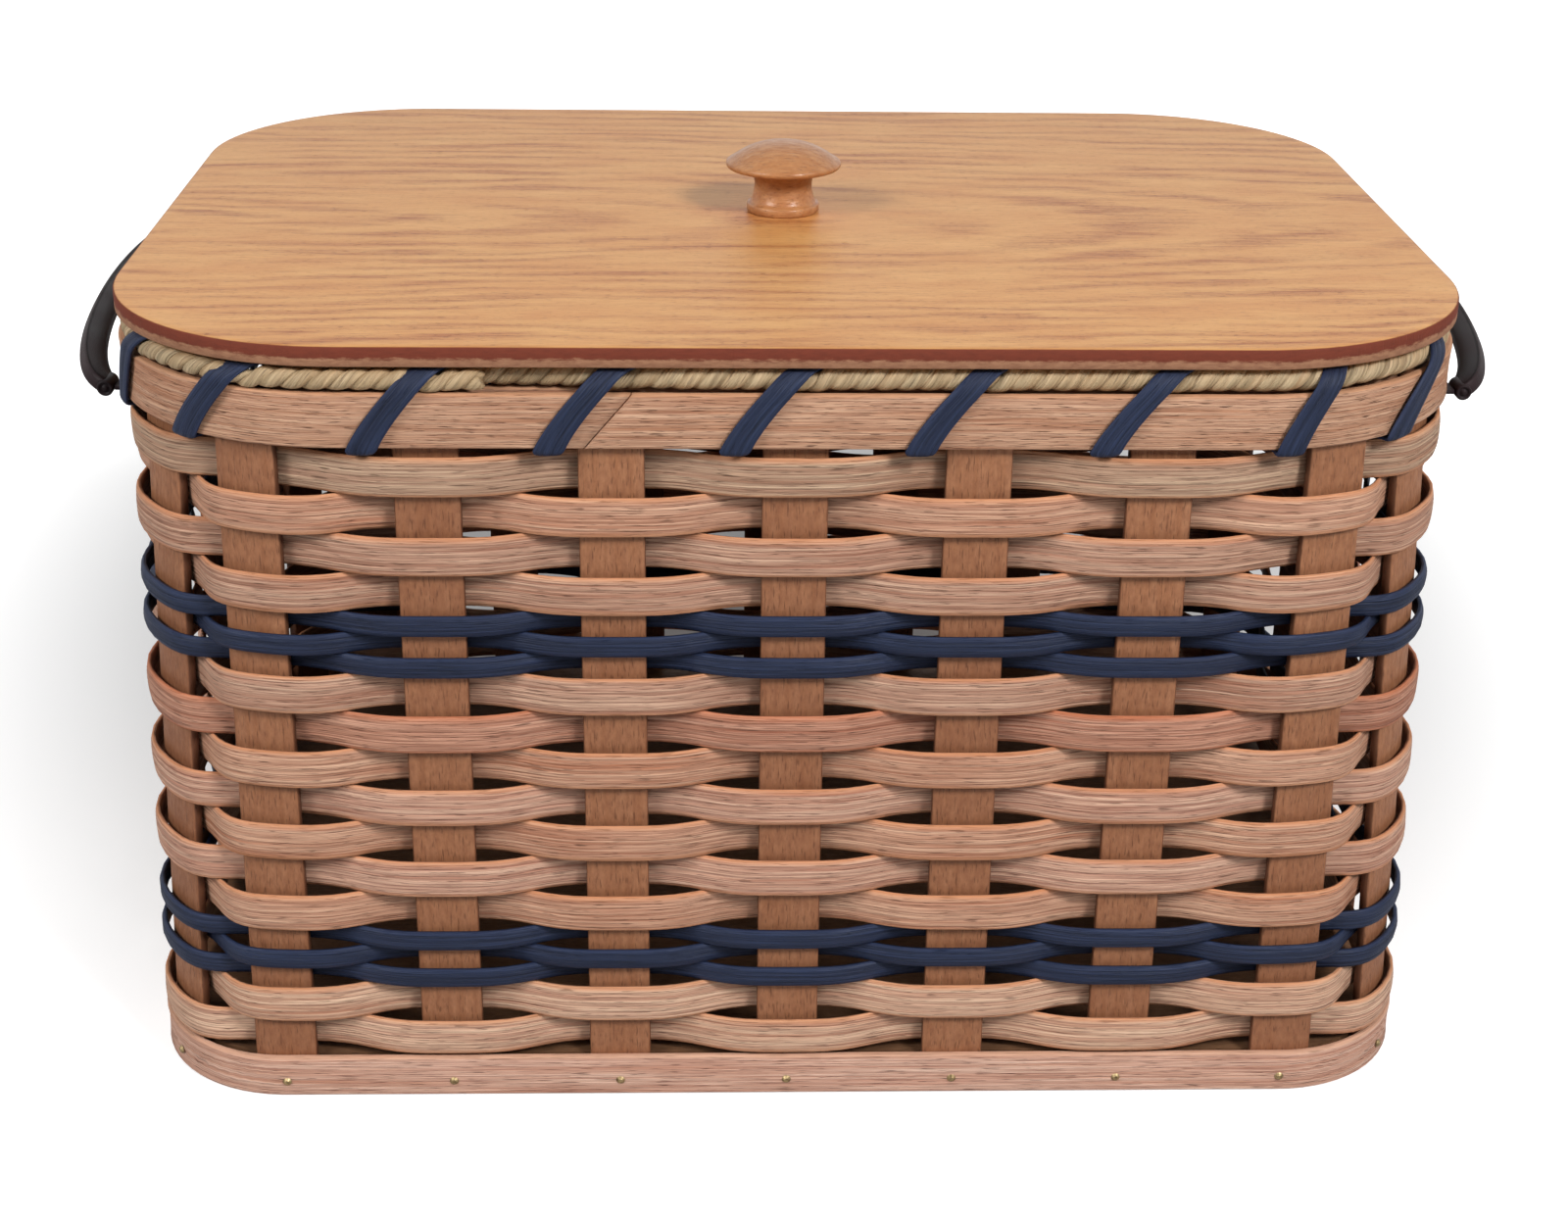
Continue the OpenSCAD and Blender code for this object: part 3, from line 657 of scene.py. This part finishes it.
def reed_row(n):
    """One row of weaving, which passes in front of every other stake."""
    rng = random.Random(100 + n)
    name = f"weaver_row_{n + 1:02d}"
    low, high = node_box(name)
    dyed = ROWS[n] == "D"
    section, marks = reed_section(high[2] - low[2], REED_T, GROOVES[ROWS[n]], rng)
    z = (low[2] + high[2]) / 2
    side = 1 if n % 2 == 0 else -1
    phase = rng.uniform(0, 2 * math.pi)
    rings = []
    for j in range(STAKES * ROW_STEPS):
        u = STAKES / 2 + j / ROW_STEPS
        turn = 2 * math.pi * u / STAKES
        # The reed tilts and rises a little on its way round, so that no row is quite even
        roll = 0.018 * math.sin(5 * turn + phase) + 0.012 * math.sin(11 * turn + 2 * phase)
        lift = 0.07 * math.sin(3 * turn + phase)
        out = side * WEAVE_SWING * swing(u)
        ring = []
        for across, off in section:
            p = wall_out(u, z, out + off + roll * across)
            ring.append((p.x, p.y, z + across + lift))
        rings.append(ring)
    material = NAVY if dyed else REEDS[ROW_REEDS[ROWS[:n].count("N")]]
    piece = swept(f"reed_row_{n + 1:02d}", rings, material, closed=True, shift=0.05 * n, marks=marks)
    place(piece, "basket", "dyed_reed" if dyed else "natural_reed", name)


def stake(i):
    """One stake, with eased edges. Those at the corners curve with the wall and lean in with it."""
    name = f"stake_{i + 1:02d}"
    low, high = node_box(name)
    half_w = STAKE_W / 2
    half_t = STAKE_T / 2
    flat = half_w - STAKE_EASE_W
    shoulder = flat + STAKE_EASE_W / 2
    shoulder_t = half_t - STAKE_SHOULDER
    section = [(half_w, STAKE_EASE_T - half_t), (half_w, half_t - STAKE_EASE_T), (shoulder, shoulder_t),
               (flat, half_t), (flat * 0.5, half_t), (0, half_t), (-flat * 0.5, half_t), (-flat, half_t),
               (-shoulder, shoulder_t)]
    section += [(-x, -y) for x, y in section]
    # The back mark is where the finish paints shade on the face inside the basket.
    marks = {"edge": [1.0 if abs(x) > shoulder else 0.0 for x, y in section],
             "back": [1.0 if y < 0 else 0.0 for x, y in section]}
    levels = [mix(BAND_H, RIM_Z, k / LEAN_STEPS) for k in range(LEAN_STEPS + 1)]
    levels = [low[2]] + levels + [high[2]]
    rings = []
    for z in levels:
        ring = []
        for along, out in section:
            p = wall_out(i, z, out, along)
            ring.append((p.x, p.y, z))
        rings.append(ring)
    piece = swept(f"stake_strip_{i + 1:02d}", rings, STAKE, shift=0.37 * i, marks=marks)
    place(piece, "basket", "stake", name)


# Bands

# Gap between the two ends of a band, and length between its rings of points
JOINT_GAP = 0.5
BAND_STEP = 4.0


def band(name, node, r, low_out, high_out, low_z, high_z, rounding, material, joint, slant, shift):
    """A splint bent round the loop with corner radius r, whose two ends meet in a slanting joint."""
    section = rounded_section(low_out, high_out, low_z, high_z, rounding)
    middle = (low_z + high_z) / 2
    length = 4 * quarter_length(r) - JOINT_GAP
    count = int(length / BAND_STEP)
    rings = []
    for j in range(count + 1):
        ring = []
        for out, z in section:
            p = loop_out(joint + length * j / count + slant * (z - middle), r, out)
            ring.append((p.x, p.y, z))
        rings.append(ring)
    edge = [1.0 if z > high_z - rounding * 0.8 else 0.0 for out, z in section]
    piece = swept(name, rings, material, shift=shift, marks={"edge": edge})
    place(piece, "basket", "band", node)


# Rope and lashing

# Length of one turn of the strands, place of the rope's end on the rim, and length that lies doubled
ROPE_LAY = 12.6
ROPE_END = -88.0
ROPE_TAIL = 62.0
# How far each of the doubled lengths is moved aside, and how much slimmer it is
TAIL_SHIFT = 2.6
TAIL_SQUEEZE = 0.14
# Lengths over which the outside one comes to the middle of the rim, and the inside one leaves it
TAIL_JOIN = 90.0
TAIL_PART = 70.0
# How much the rope rises and swells between the turns of the lashing, how far from the middle of each
# turn that begins, and over what length
FREE_RISE = 1.1
FREE_SWELL = 0.14
FREE_FROM = 2.0
FREE_RUN = 3.5
# A strand: distance from the rope's middle, radius, how much wider than thick, and size of its cut end
STRAND_REACH = 1.42
STRAND_R = 1.68
STRAND_WIDEN = 1.08
STRAND_END = 0.8
# Points round a strand, and rings of them in one turn
STRAND_SIDES = 10
LAY_STEPS = 14


def rope_strand(k):
    """One of the two strands, which the lashing presses down where it crosses.

    The rope's end lies outside its start along a stretch of the front wall.
    """
    loop = 4 * quarter_length(RIM_CORNER_R)
    length = loop + ROPE_TAIL
    count = int(length / ROPE_LAY * LAY_STEPS)
    crossings = [mix(lash_pass(i), lash_pass(i + 1), 0.5 ** LASH_HOLD) for i in range(STAKES)]
    rings = []
    for j in range(count + 1):
        d = length * j / count
        s = ROPE_END - d
        outer = 1 - ease((d - ROPE_TAIL) / TAIL_JOIN)
        inner = ease((d - length + ROPE_TAIL + TAIL_PART) / TAIL_PART)
        under = min(abs((s - crossing + loop / 2) % loop - loop / 2) for crossing in crossings)
        free = ease((under - FREE_FROM) / FREE_RUN)
        squeeze = (1 - TAIL_SQUEEZE * max(outer, inner)) * (1 + FREE_SWELL * free)
        turn = k * math.pi - 2 * math.pi * d / ROPE_LAY
        reach = STRAND_REACH * squeeze
        thick = STRAND_R * squeeze
        if j in (0, count):
            thick *= STRAND_END
        centre_out = TAIL_SHIFT * outer - TAIL_SHIFT * inner + reach * math.cos(turn)
        centre_z = ROPE_Z + FREE_RISE * free + reach * math.sin(turn)
        pitch = 2 * math.pi * reach / ROPE_LAY
        ring = []
        for a in circle_angles(STRAND_SIDES):
            radial = thick * math.cos(a)
            side = thick * STRAND_WIDEN * math.sin(a)
            out = centre_out + radial * math.cos(turn) - side * math.sin(turn)
            z = centre_z + radial * math.sin(turn) + side * math.cos(turn)
            p = loop_out(s - side * pitch, RIM_CORNER_R, out)
            ring.append((p.x, p.y, z))
        rings.append(ring)
    return swept(f"rope_strand_{k + 1}", rings, ROPE, shift=0.2 * k)


LASH_TOP = ROPE_Z + ROPE_D / 2 + LASH_FIT + LASH_T / 2
LASH_UNDER = RIM_Z - LASH_FIT - LASH_T / 2
LASH_BEND = LASH_T / 2 + LASH_FIT + SEAT_FIT
LASH_FOOT = LASH_OUT - LASH_BEND
LASH_ARC_Z = LASH_TOP - LASH_OUT
LASH_SIDE_H = LASH_ARC_Z - LASH_UNDER - LASH_BEND
# Steps round each bend under the rim, up each side and over the top
LASH_BEND_STEPS = 4
LASH_SIDE_STEPS = 8
LASH_TOP_STEPS = 16


def lash_arc(out, z, r, first, last, steps, passed):
    """Stops on an arc about (out, z), from one facing angle to another, after a length that has passed."""
    stops = []
    for k in range(steps + 1):
        a = first + (last - first) * k / steps
        stops.append((out + r * math.cos(math.radians(a)), z + r * math.sin(math.radians(a)), a,
                      passed + r * math.radians(a - first)))
    return stops


def lash_side(out, z, rise, facing, passed):
    """Stops straight up or down a side of the rim, after a length that has passed."""
    shares = [k / LASH_SIDE_STEPS for k in range(LASH_SIDE_STEPS + 1)]
    return [(out, z + rise * t, facing, passed + LASH_SIDE_H * t) for t in shares]


def lash_stops():
    """(distance out, height, facing angle, length) round the rim, from under its outside to its inside."""
    low = LASH_UNDER + LASH_BEND
    bend = LASH_BEND * math.pi / 2
    up = bend + LASH_SIDE_H
    over = up + math.pi * LASH_OUT
    stops = lash_arc(LASH_FOOT, low, LASH_BEND, -90, 0, LASH_BEND_STEPS, 0.0)
    stops += lash_side(LASH_OUT, low, LASH_SIDE_H, 0, bend)[1:]
    stops += lash_arc(0.0, LASH_ARC_Z, LASH_OUT, 0, 180, LASH_TOP_STEPS, up)[1:]
    stops += lash_side(-LASH_OUT, LASH_ARC_Z, -LASH_SIDE_H, 180, over)[1:]
    stops += lash_arc(-LASH_FOOT, low, LASH_BEND, 180, 270, LASH_BEND_STEPS, over + LASH_SIDE_H)[1:]
    return stops


def lash_pass(i):
    """Where the lashing passes under the rim: beside stake i, or beside a handle's tongue in its way."""
    at_stake = stake_arc(i, RIM_CORNER_R)
    passing = max(at_stake - LASH_SIDE, (stake_arc(i - 1, RIM_CORNER_R) + at_stake) / 2)
    bent = max(0.0, HANDLE_HALF - HALF_WID + RIM_CORNER_R)
    end = HANDLE_HALF - bent + RIM_CORNER_R * math.asin(bent / RIM_CORNER_R)
    room = (LASH_W + TONGUE_W) / 2 + TONGUE_BERTH
    for quarter in (1, 3):
        for tongue in (-end, end):
            arc = quarter * quarter_length(RIM_CORNER_R) + tongue
            if abs(arc - passing) < room:
                beyond = arc + room
                return beyond if beyond < at_stake - (LASH_W + STAKE_W) / 2 - WEAVE_FIT else arc - room
    return passing


# Where the lashing's grooves lie, as a share of its half width
LASH_GROOVE = 0.34


def lash_face():
    """The section of the lashing: (share of the half width, distance off its middle)."""
    left = [(-1.0, 0.0), (-0.95, 0.42), (-0.66, 0.6), (-0.42, 0.66), (-LASH_GROOVE, 0.58), (-0.26, 0.67)]
    right = [(-c, off) for c, off in reversed(left)]
    return left + right + [(0.94, -0.5), (0.5, -0.68), (-0.5, -0.68), (-0.94, -0.5)]


def lashing():
    """The dyed strip that binds the rim: one turn round the bands and the rope for each stake."""
    face = lash_face()
    stops = lash_stops()
    climb_len = stops[-1][3]
    rings = []
    for i in range(STAKES):
        start = lash_pass(i)
        end = lash_pass(i + 1)
        slope = math.hypot(climb_len, end - start) / climb_len
        for k, (out, z, angle, p) in enumerate(stops):
            t = (p / climb_len) ** LASH_HOLD
            widen = mix(1.0, slope, ease(min(k, len(stops) - 1 - k) / LASH_BEND_STEPS))
            ring = []
            for c, off in face:
                q = loop_out(mix(start, end, t) + c * LASH_W / 2 * widen, RIM_CORNER_R,
                             out + off * math.cos(math.radians(angle)))
                ring.append((q.x, q.y, z + off * math.sin(math.radians(angle))))
            rings.append(ring)
    edge = [1.0 if abs(c) > 0.9 and off >= 0 else 0.0 for c, off in face]
    groove = [1.0 if abs(c) == LASH_GROOVE else 0.0 for c, off in face]
    piece = swept("lashing_strip", rings, NAVY, shift=2.0, marks={"edge": edge, "groove": groove})
    place(piece, "basket", "dyed_reed", "rim_lashing")


# Handles

def rim_x(y):
    d = max(0.0, y - HALF_WID + RIM_CORNER_R)
    return HALF_LEN - RIM_CORNER_R + math.sqrt(RIM_CORNER_R ** 2 - d * d)


ROLL_LEN = STRAP_W + 2 * ROLL_LIP
HINGE_X = rim_x(HANDLE_HALF - ROLL_LEN / 2) + RIM_OUT + ROLL_GAP + ROLL_D / 2
HINGE_Z = sum(node_box("handle_tongues")[k][2] for k in (0, 1)) / 2
# Steps along the strap, and points round a roll
STRAP_STEPS = 72
ROLL_SIDES = 28


def strap_section():
    """The section of the strap: rounded edges, and a creased line near each edge of both faces.

    Each point is (across, up, edge, crease).
    """
    quarter = [(0.985, 0.6, 1, 0), (0.92, 0.9, 1, 0), (0.82, 0.98, 0, 0), (0.74, 0.86, 0, 1),
               (0.66, 0.99, 0, 0)]
    shares = [(1.0, 0.0, 1, 0)] + quarter + [(0.0, 1.0, 0, 0)]
    shares += [(-x, y, edge, crease) for x, y, edge, crease in reversed(quarter)]
    face = [(x * STRAP_W / 2, y * STRAP_T / 2, edge, crease) for x, y, edge, crease in shares]
    return face + [(-x, -y, edge, crease) for x, y, edge, crease in face]


def handle_point(side, reach, y, up):
    """A point of a handle: reach from the hinge line in the handle's plane, and up off that plane."""
    tilt = math.radians(HANDLE_TILT)
    x = HINGE_X + reach * math.cos(tilt) - up * math.sin(tilt)
    z = HINGE_Z + reach * math.sin(tilt) + up * math.cos(tilt)
    return side * x, y, z


def handle_roll(side, y, name):
    """A roll of leather on the hinge line at y, with a hollow in each end."""
    half = ROLL_LEN / 2
    # (distance in from the end, share of the radius)
    shares = ((0.0, 0.35), (0.5, 0.4), (0.4, 0.62), (0.0, 0.7), (0.0, 0.88), (0.5, 1.0))
    profile = [(inset - half, share * ROLL_D / 2) for inset, share in shares]
    profile += [(-along, r) for along, r in reversed(profile)]
    rings = [[handle_point(side, r * math.cos(a), y + along, r * math.sin(a))
              for a in circle_angles(ROLL_SIDES)] for along, r in profile]
    return swept(name, rings, LEATHER)


def handle(side, name):
    """A leather loop: a bowed strap and the two rolls that it hangs on."""
    section = strap_section()
    marks = {"edge": [float(p[2]) for p in section], "groove": [float(p[3]) for p in section]}
    rings = []
    for k in range(STRAP_STEPS + 1):
        a = math.radians(-90 + 180 * k / STRAP_STEPS)
        along = Vector((-HANDLE_REACH * math.sin(a), HANDLE_HALF * math.cos(a))).normalized()
        middle = Vector((HANDLE_REACH * math.cos(a), HANDLE_HALF * math.sin(a)))
        rings.append([handle_point(side, middle.x + along.y * p[0], middle.y - along.x * p[0], p[1])
                      for p in section])
    strap = swept(f"{name}_strap", rings, LEATHER, marks=marks)
    place(strap, name, "leather", name)
    for end in (-1, 1):
        roll = handle_roll(side, end * HANDLE_HALF, f"{name}_roll_{'front' if end < 0 else 'back'}")
        place(roll, name, "leather")


# Steps round a tongue's coil, and the length over which the tongue rises into it
COIL_STEPS = 30
COIL_RISE = 4.0


def tongues():
    """The thin leather ends that pass under the rim and are rolled up inside the basket."""
    stop_x = rim_x(HANDLE_HALF + STOP_LEN / 2) - LASH_OUT - LASH_T / 2 - LASH_FIT - STOP_D / 2
    first = HINGE_X - ROLL_D / 2 - TONGUE_FIT
    coil = STOP_D / 2 - TONGUE_T / 2
    path = [(mix(first, stop_x + COIL_RISE, k / 5), 0.0) for k in range(6)]
    path += [(stop_x + COIL_RISE * (1 - k / 4), coil * ease(k / 4)) for k in range(1, 5)]
    for k in range(1, COIL_STEPS + 1):
        a = math.radians(90 + 450 * k / COIL_STEPS)
        r = coil * (1 - 0.42 * k / COIL_STEPS)
        path.append((stop_x + r * math.cos(a), r * math.sin(a)))
    section = rounded_section(-TONGUE_W / 2, TONGUE_W / 2, -TONGUE_T / 2, TONGUE_T / 2, 0.5, 2)
    made = []
    for side in (-1, 1):
        for end in (-1, 1):
            rings = []
            for k, (x, z) in enumerate(path):
                before = path[max(0, k - 1)]
                after = path[min(len(path) - 1, k + 1)]
                d = Vector((after[0] - before[0], after[1] - before[1])).normalized()
                rings.append([(side * (x - d.y * up), end * HANDLE_HALF + across, HINGE_Z + z + d.x * up)
                              for across, up in section])
            name = f"tongue_{'left' if side < 0 else 'right'}_{'front' if end < 0 else 'back'}"
            made.append(swept(name, rings, LEATHER))
    place(made[0], "basket", "leather", "handle_tongues")
    for piece in made[1:]:
        place(piece, "basket", "leather")


# Lid

CORNER_STEPS = 24


def outline_ring(half_x, half_y, r, z, inset):
    """The rounded outline of the lid at height z, moved in by inset."""
    ring = []
    r -= inset
    for side_x, side_y, start in ((1, 1, 0), (-1, 1, 90), (-1, -1, 180), (1, -1, 270)):
        x = side_x * (half_x - inset - r)
        y = side_y * (half_y - inset - r)
        for k in range(CORNER_STEPS + 1):
            a = math.radians(start + 90 * k / CORNER_STEPS)
            ring.append((x + r * math.cos(a), y + r * math.sin(a), z))
    return ring


def lid():
    """The lid panel, with its edges just broken."""
    low, high = node_box("lid_panel")
    corner = RIM_CORNER_R + high[0] - HALF_LEN
    bottom = low[2]
    top = high[2]
    levels = ((bottom, 3.0), (bottom, 0.7), (bottom + 0.12, 0.25), (bottom + 0.45, 0.0),
              (top - 0.6, 0.0), (top - 0.18, 0.2), (top, 0.7), (top, 3.0))
    rings = [outline_ring(high[0], high[1], corner, z, inset) for z, inset in levels]
    piece = swept("lid_board", rings, LID)
    place(piece, "lid", "lid", "lid_panel")


# The knob's foot and neck, the edge and the dome of its head, and the small flat that closes each end
KNOB_FOOT_R = 12.0
KNOB_FOOT_H = 3.0
KNOB_NECK_R = 9.5
KNOB_EDGE = 2.4
KNOB_DOME = 6.0
KNOB_TIP_R = 0.6
KNOB_SIDES = 96
NECK_STEPS = 12
DOME_STEPS = 16


def knob_profile(height, radius):
    """(radius, height) up the knob: its foot, its hollow neck, the edge of its head and its dome."""
    foot_r = KNOB_FOOT_R
    foot_h = KNOB_FOOT_H
    head_z = height - KNOB_EDGE - KNOB_DOME
    edge_r = KNOB_EDGE / 2
    profile = [(KNOB_TIP_R, 0.0), (foot_r - 0.5, 0.0), (foot_r, 0.5), (foot_r, foot_h - 0.7),
               (foot_r - 0.25, foot_h - 0.15), (foot_r - 0.7, foot_h)]
    for k in range(NECK_STEPS + 1):
        hollow = math.sin(math.pi * k / NECK_STEPS) ** 0.8
        profile.append((mix(foot_r - 0.9, KNOB_NECK_R, hollow), mix(foot_h, head_z, k / NECK_STEPS)))
    profile += [(foot_r + 1, head_z + 0.02), (radius - edge_r - 1.5, head_z + 0.06)]
    for degrees in range(-75, 60, 12):
        a = math.radians(degrees)
        profile.append((radius - edge_r + edge_r * math.cos(a), head_z + edge_r + edge_r * math.sin(a)))
    for k in range(1, DOME_STEPS + 1):
        left = 1 - k / DOME_STEPS
        profile.append((max(KNOB_TIP_R, (radius - edge_r) * left), height - KNOB_DOME * left ** 2.4))
    return profile


def knob():
    """The turned knob: a foot, a hollow neck and a domed head with a thin edge."""
    low, high = node_box("lid_knob")
    base = low[2]
    rings = [[(r * math.cos(a), r * math.sin(a), base + z) for a in circle_angles(KNOB_SIDES)]
             for r, z in knob_profile(high[2] - base, high[0])]
    piece = swept("turned_knob", rings, KNOB)
    place(piece, "lid", "knob", "lid_knob")


# Fittings that keep their own solids

def finish_node(node, material):
    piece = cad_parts[node]
    piece.data.materials.clear()
    piece.data.materials.append(material)


# Studio

def add_camera():
    """The camera at the place from which the photograph was taken."""
    stand = Vector((-25.6, -805.6, 459.0)) * MM
    yaw, pitch, roll = (math.radians(a) for a in (-1.986, 23.920, 0.825))
    focal_px = 2519.9
    image_px = 1600
    right = Vector((math.cos(yaw), math.sin(yaw), 0))
    forward = Vector((-math.sin(yaw) * math.cos(pitch), math.cos(yaw) * math.cos(pitch), -math.sin(pitch)))
    up = right.cross(forward)
    x_axis = math.cos(roll) * right + math.sin(roll) * up
    y_axis = math.cos(roll) * up - math.sin(roll) * right
    data = bpy.data.cameras.new("Camera")
    data.sensor_fit = "HORIZONTAL"
    data.sensor_width = 36.0
    data.lens = focal_px / image_px * data.sensor_width
    camera = bpy.data.objects.new("Camera", data)
    turn = Matrix((x_axis, y_axis, -forward)).transposed().to_4x4()
    camera.matrix_world = Matrix.Translation(stand) @ turn
    bpy.context.scene.collection.objects.link(camera)
    bpy.context.scene.camera = camera


WHITE = (1.0, 1.0, 1.0, 1.0)
LAMP_AIM = (0.0, 0.0, 0.14)


def add_lamp(name, place_at, size, power, sheen=True):
    """A soft round lamp; one without sheen isn't seen in glossy surfaces."""
    data = bpy.data.lights.new(name, "AREA")
    data.shape = "DISK"
    data.size = size
    data.energy = power
    lamp = bpy.data.objects.new(name, data)
    lamp.location = place_at
    lamp.rotation_euler = (Vector(LAMP_AIM) - Vector(place_at)).to_track_quat("-Z", "Y").to_euler()
    lamp.visible_glossy = sheen
    bpy.context.scene.collection.objects.link(lamp)


def add_surround():
    """A world that looks white and adds a little light."""
    world = bpy.data.worlds.new("Studio")
    world.use_nodes = True
    bpy.context.scene.world = world
    tree = world.node_tree
    rays = add_node(tree, "ShaderNodeLightPath")
    shown = math_node(tree, "ADD", rays.outputs["Is Camera Ray"], rays.outputs["Is Glossy Ray"])
    shown = math_node(tree, "ADD", shown, rays.outputs["Is Transmission Ray"], clamp=True)
    light = tree.nodes["Background"]
    light.inputs["Color"].default_value = WHITE
    light.inputs["Strength"].default_value = 0.12
    white = add_node(tree, "ShaderNodeBackground", {"Color": WHITE, "Strength": 1.0})
    both = add_node(tree, "ShaderNodeMixShader", {0: shown, 1: light.outputs[0], 2: white.outputs[0]})
    tree.links.new(both.outputs[0], tree.nodes["World Output"].inputs["Surface"])


def floor_finish():
    """A pale floor, which is white in the picture away from the basket and keeps the shadow near it."""
    material, tree, shader = new_material("Pale floor")
    shader.inputs["Base Color"].default_value = (0.6, 0.6, 0.6, 1.0)
    shader.inputs["Roughness"].default_value = 0.9
    rays = add_node(tree, "ShaderNodeLightPath")
    away = add_node(tree, "ShaderNodeVectorMath",
                    {0: object_coordinates(tree), 1: (1.5, 1.0, 1.0), 2: (0.0, -0.3, 0.0)},
                    operation="MULTIPLY_ADD").outputs[0]
    far = add_node(tree, "ShaderNodeVectorMath", {0: away}, operation="LENGTH").outputs["Value"]
    strength = math_node(tree, "MULTIPLY", rays.outputs["Is Camera Ray"],
                         map_range(tree, far, 0.3, 0.6, 0.0, 0.9))
    glow = add_node(tree, "ShaderNodeEmission", {"Color": WHITE, "Strength": strength})
    both = add_node(tree, "ShaderNodeAddShader", {0: shader.outputs[0], 1: glow.outputs[0]})
    tree.links.new(both.outputs[0], tree.nodes["Material Output"].inputs["Surface"])
    return material


def add_studio():
    """The surround, the floor and soft lamps."""
    bpy.context.scene.view_settings.view_transform = "Standard"
    add_surround()
    reach = 4000.0
    floor_z = -0.2
    corners = [(-reach, -reach, floor_z), (reach, -reach, floor_z), (reach, reach, floor_z),
               (-reach, reach, floor_z)]
    floor = make_piece("floor", corners, [(0, 1, 2, 3)], floor_finish(), smooth=False)
    add_lamp("Key", (1.0, -1.25, 1.35), size=0.5, power=30.0)
    add_lamp("Fill", (-1.3, -1.05, 1.3), size=0.8, power=23.0)
    add_lamp("Back", (0.3, 1.7, 0.4), size=0.8, power=7.5, sheen=False)


def build():
    add_camera()
    for row in range(len(ROWS)):
        reed_row(row)
    for number in range(STAKES):
        stake(number)
    band("base_splint", "base_band", BASE_CORNER_R, SEAT_OUT, SEAT_OUT + BAND_T, 0.0, BAND_H, 0.9,
         BASE_SPLINT, joint=560.0, slant=0.8, shift=5.0)
    band("rim_splint_outside", "rim_outer_band", RIM_CORNER_R, SEAT_OUT, RIM_OUT, RIM_Z, RIM_TOP, 0.8,
         BAND, joint=-53.0, slant=0.85, shift=6.0)
    band("rim_splint_inside", "rim_inner_band", RIM_CORNER_R, -RIM_OUT, -SEAT_OUT, RIM_Z, RIM_TOP, 0.8,
         BAND, joint=570.0, slant=0.85, shift=7.0)
    strands = [rope_strand(k) for k in range(2)]
    place(strands[0], "basket", "rope", "rim_rope")
    place(strands[1], "basket", "rope")
    lashing()
    for side, name in ((-1, "handle_left"), (1, "handle_right")):
        handle(side, name)
    tongues()
    lid()
    knob()
    for node, material in (("base_board", BOARD), ("lid_cleats", CLEAT), ("base_brads", BRASS),
                           ("cleat_brads", BRASS), ("knob_screw", STEEL)):
        finish_node(node, material)
    add_studio()


build()
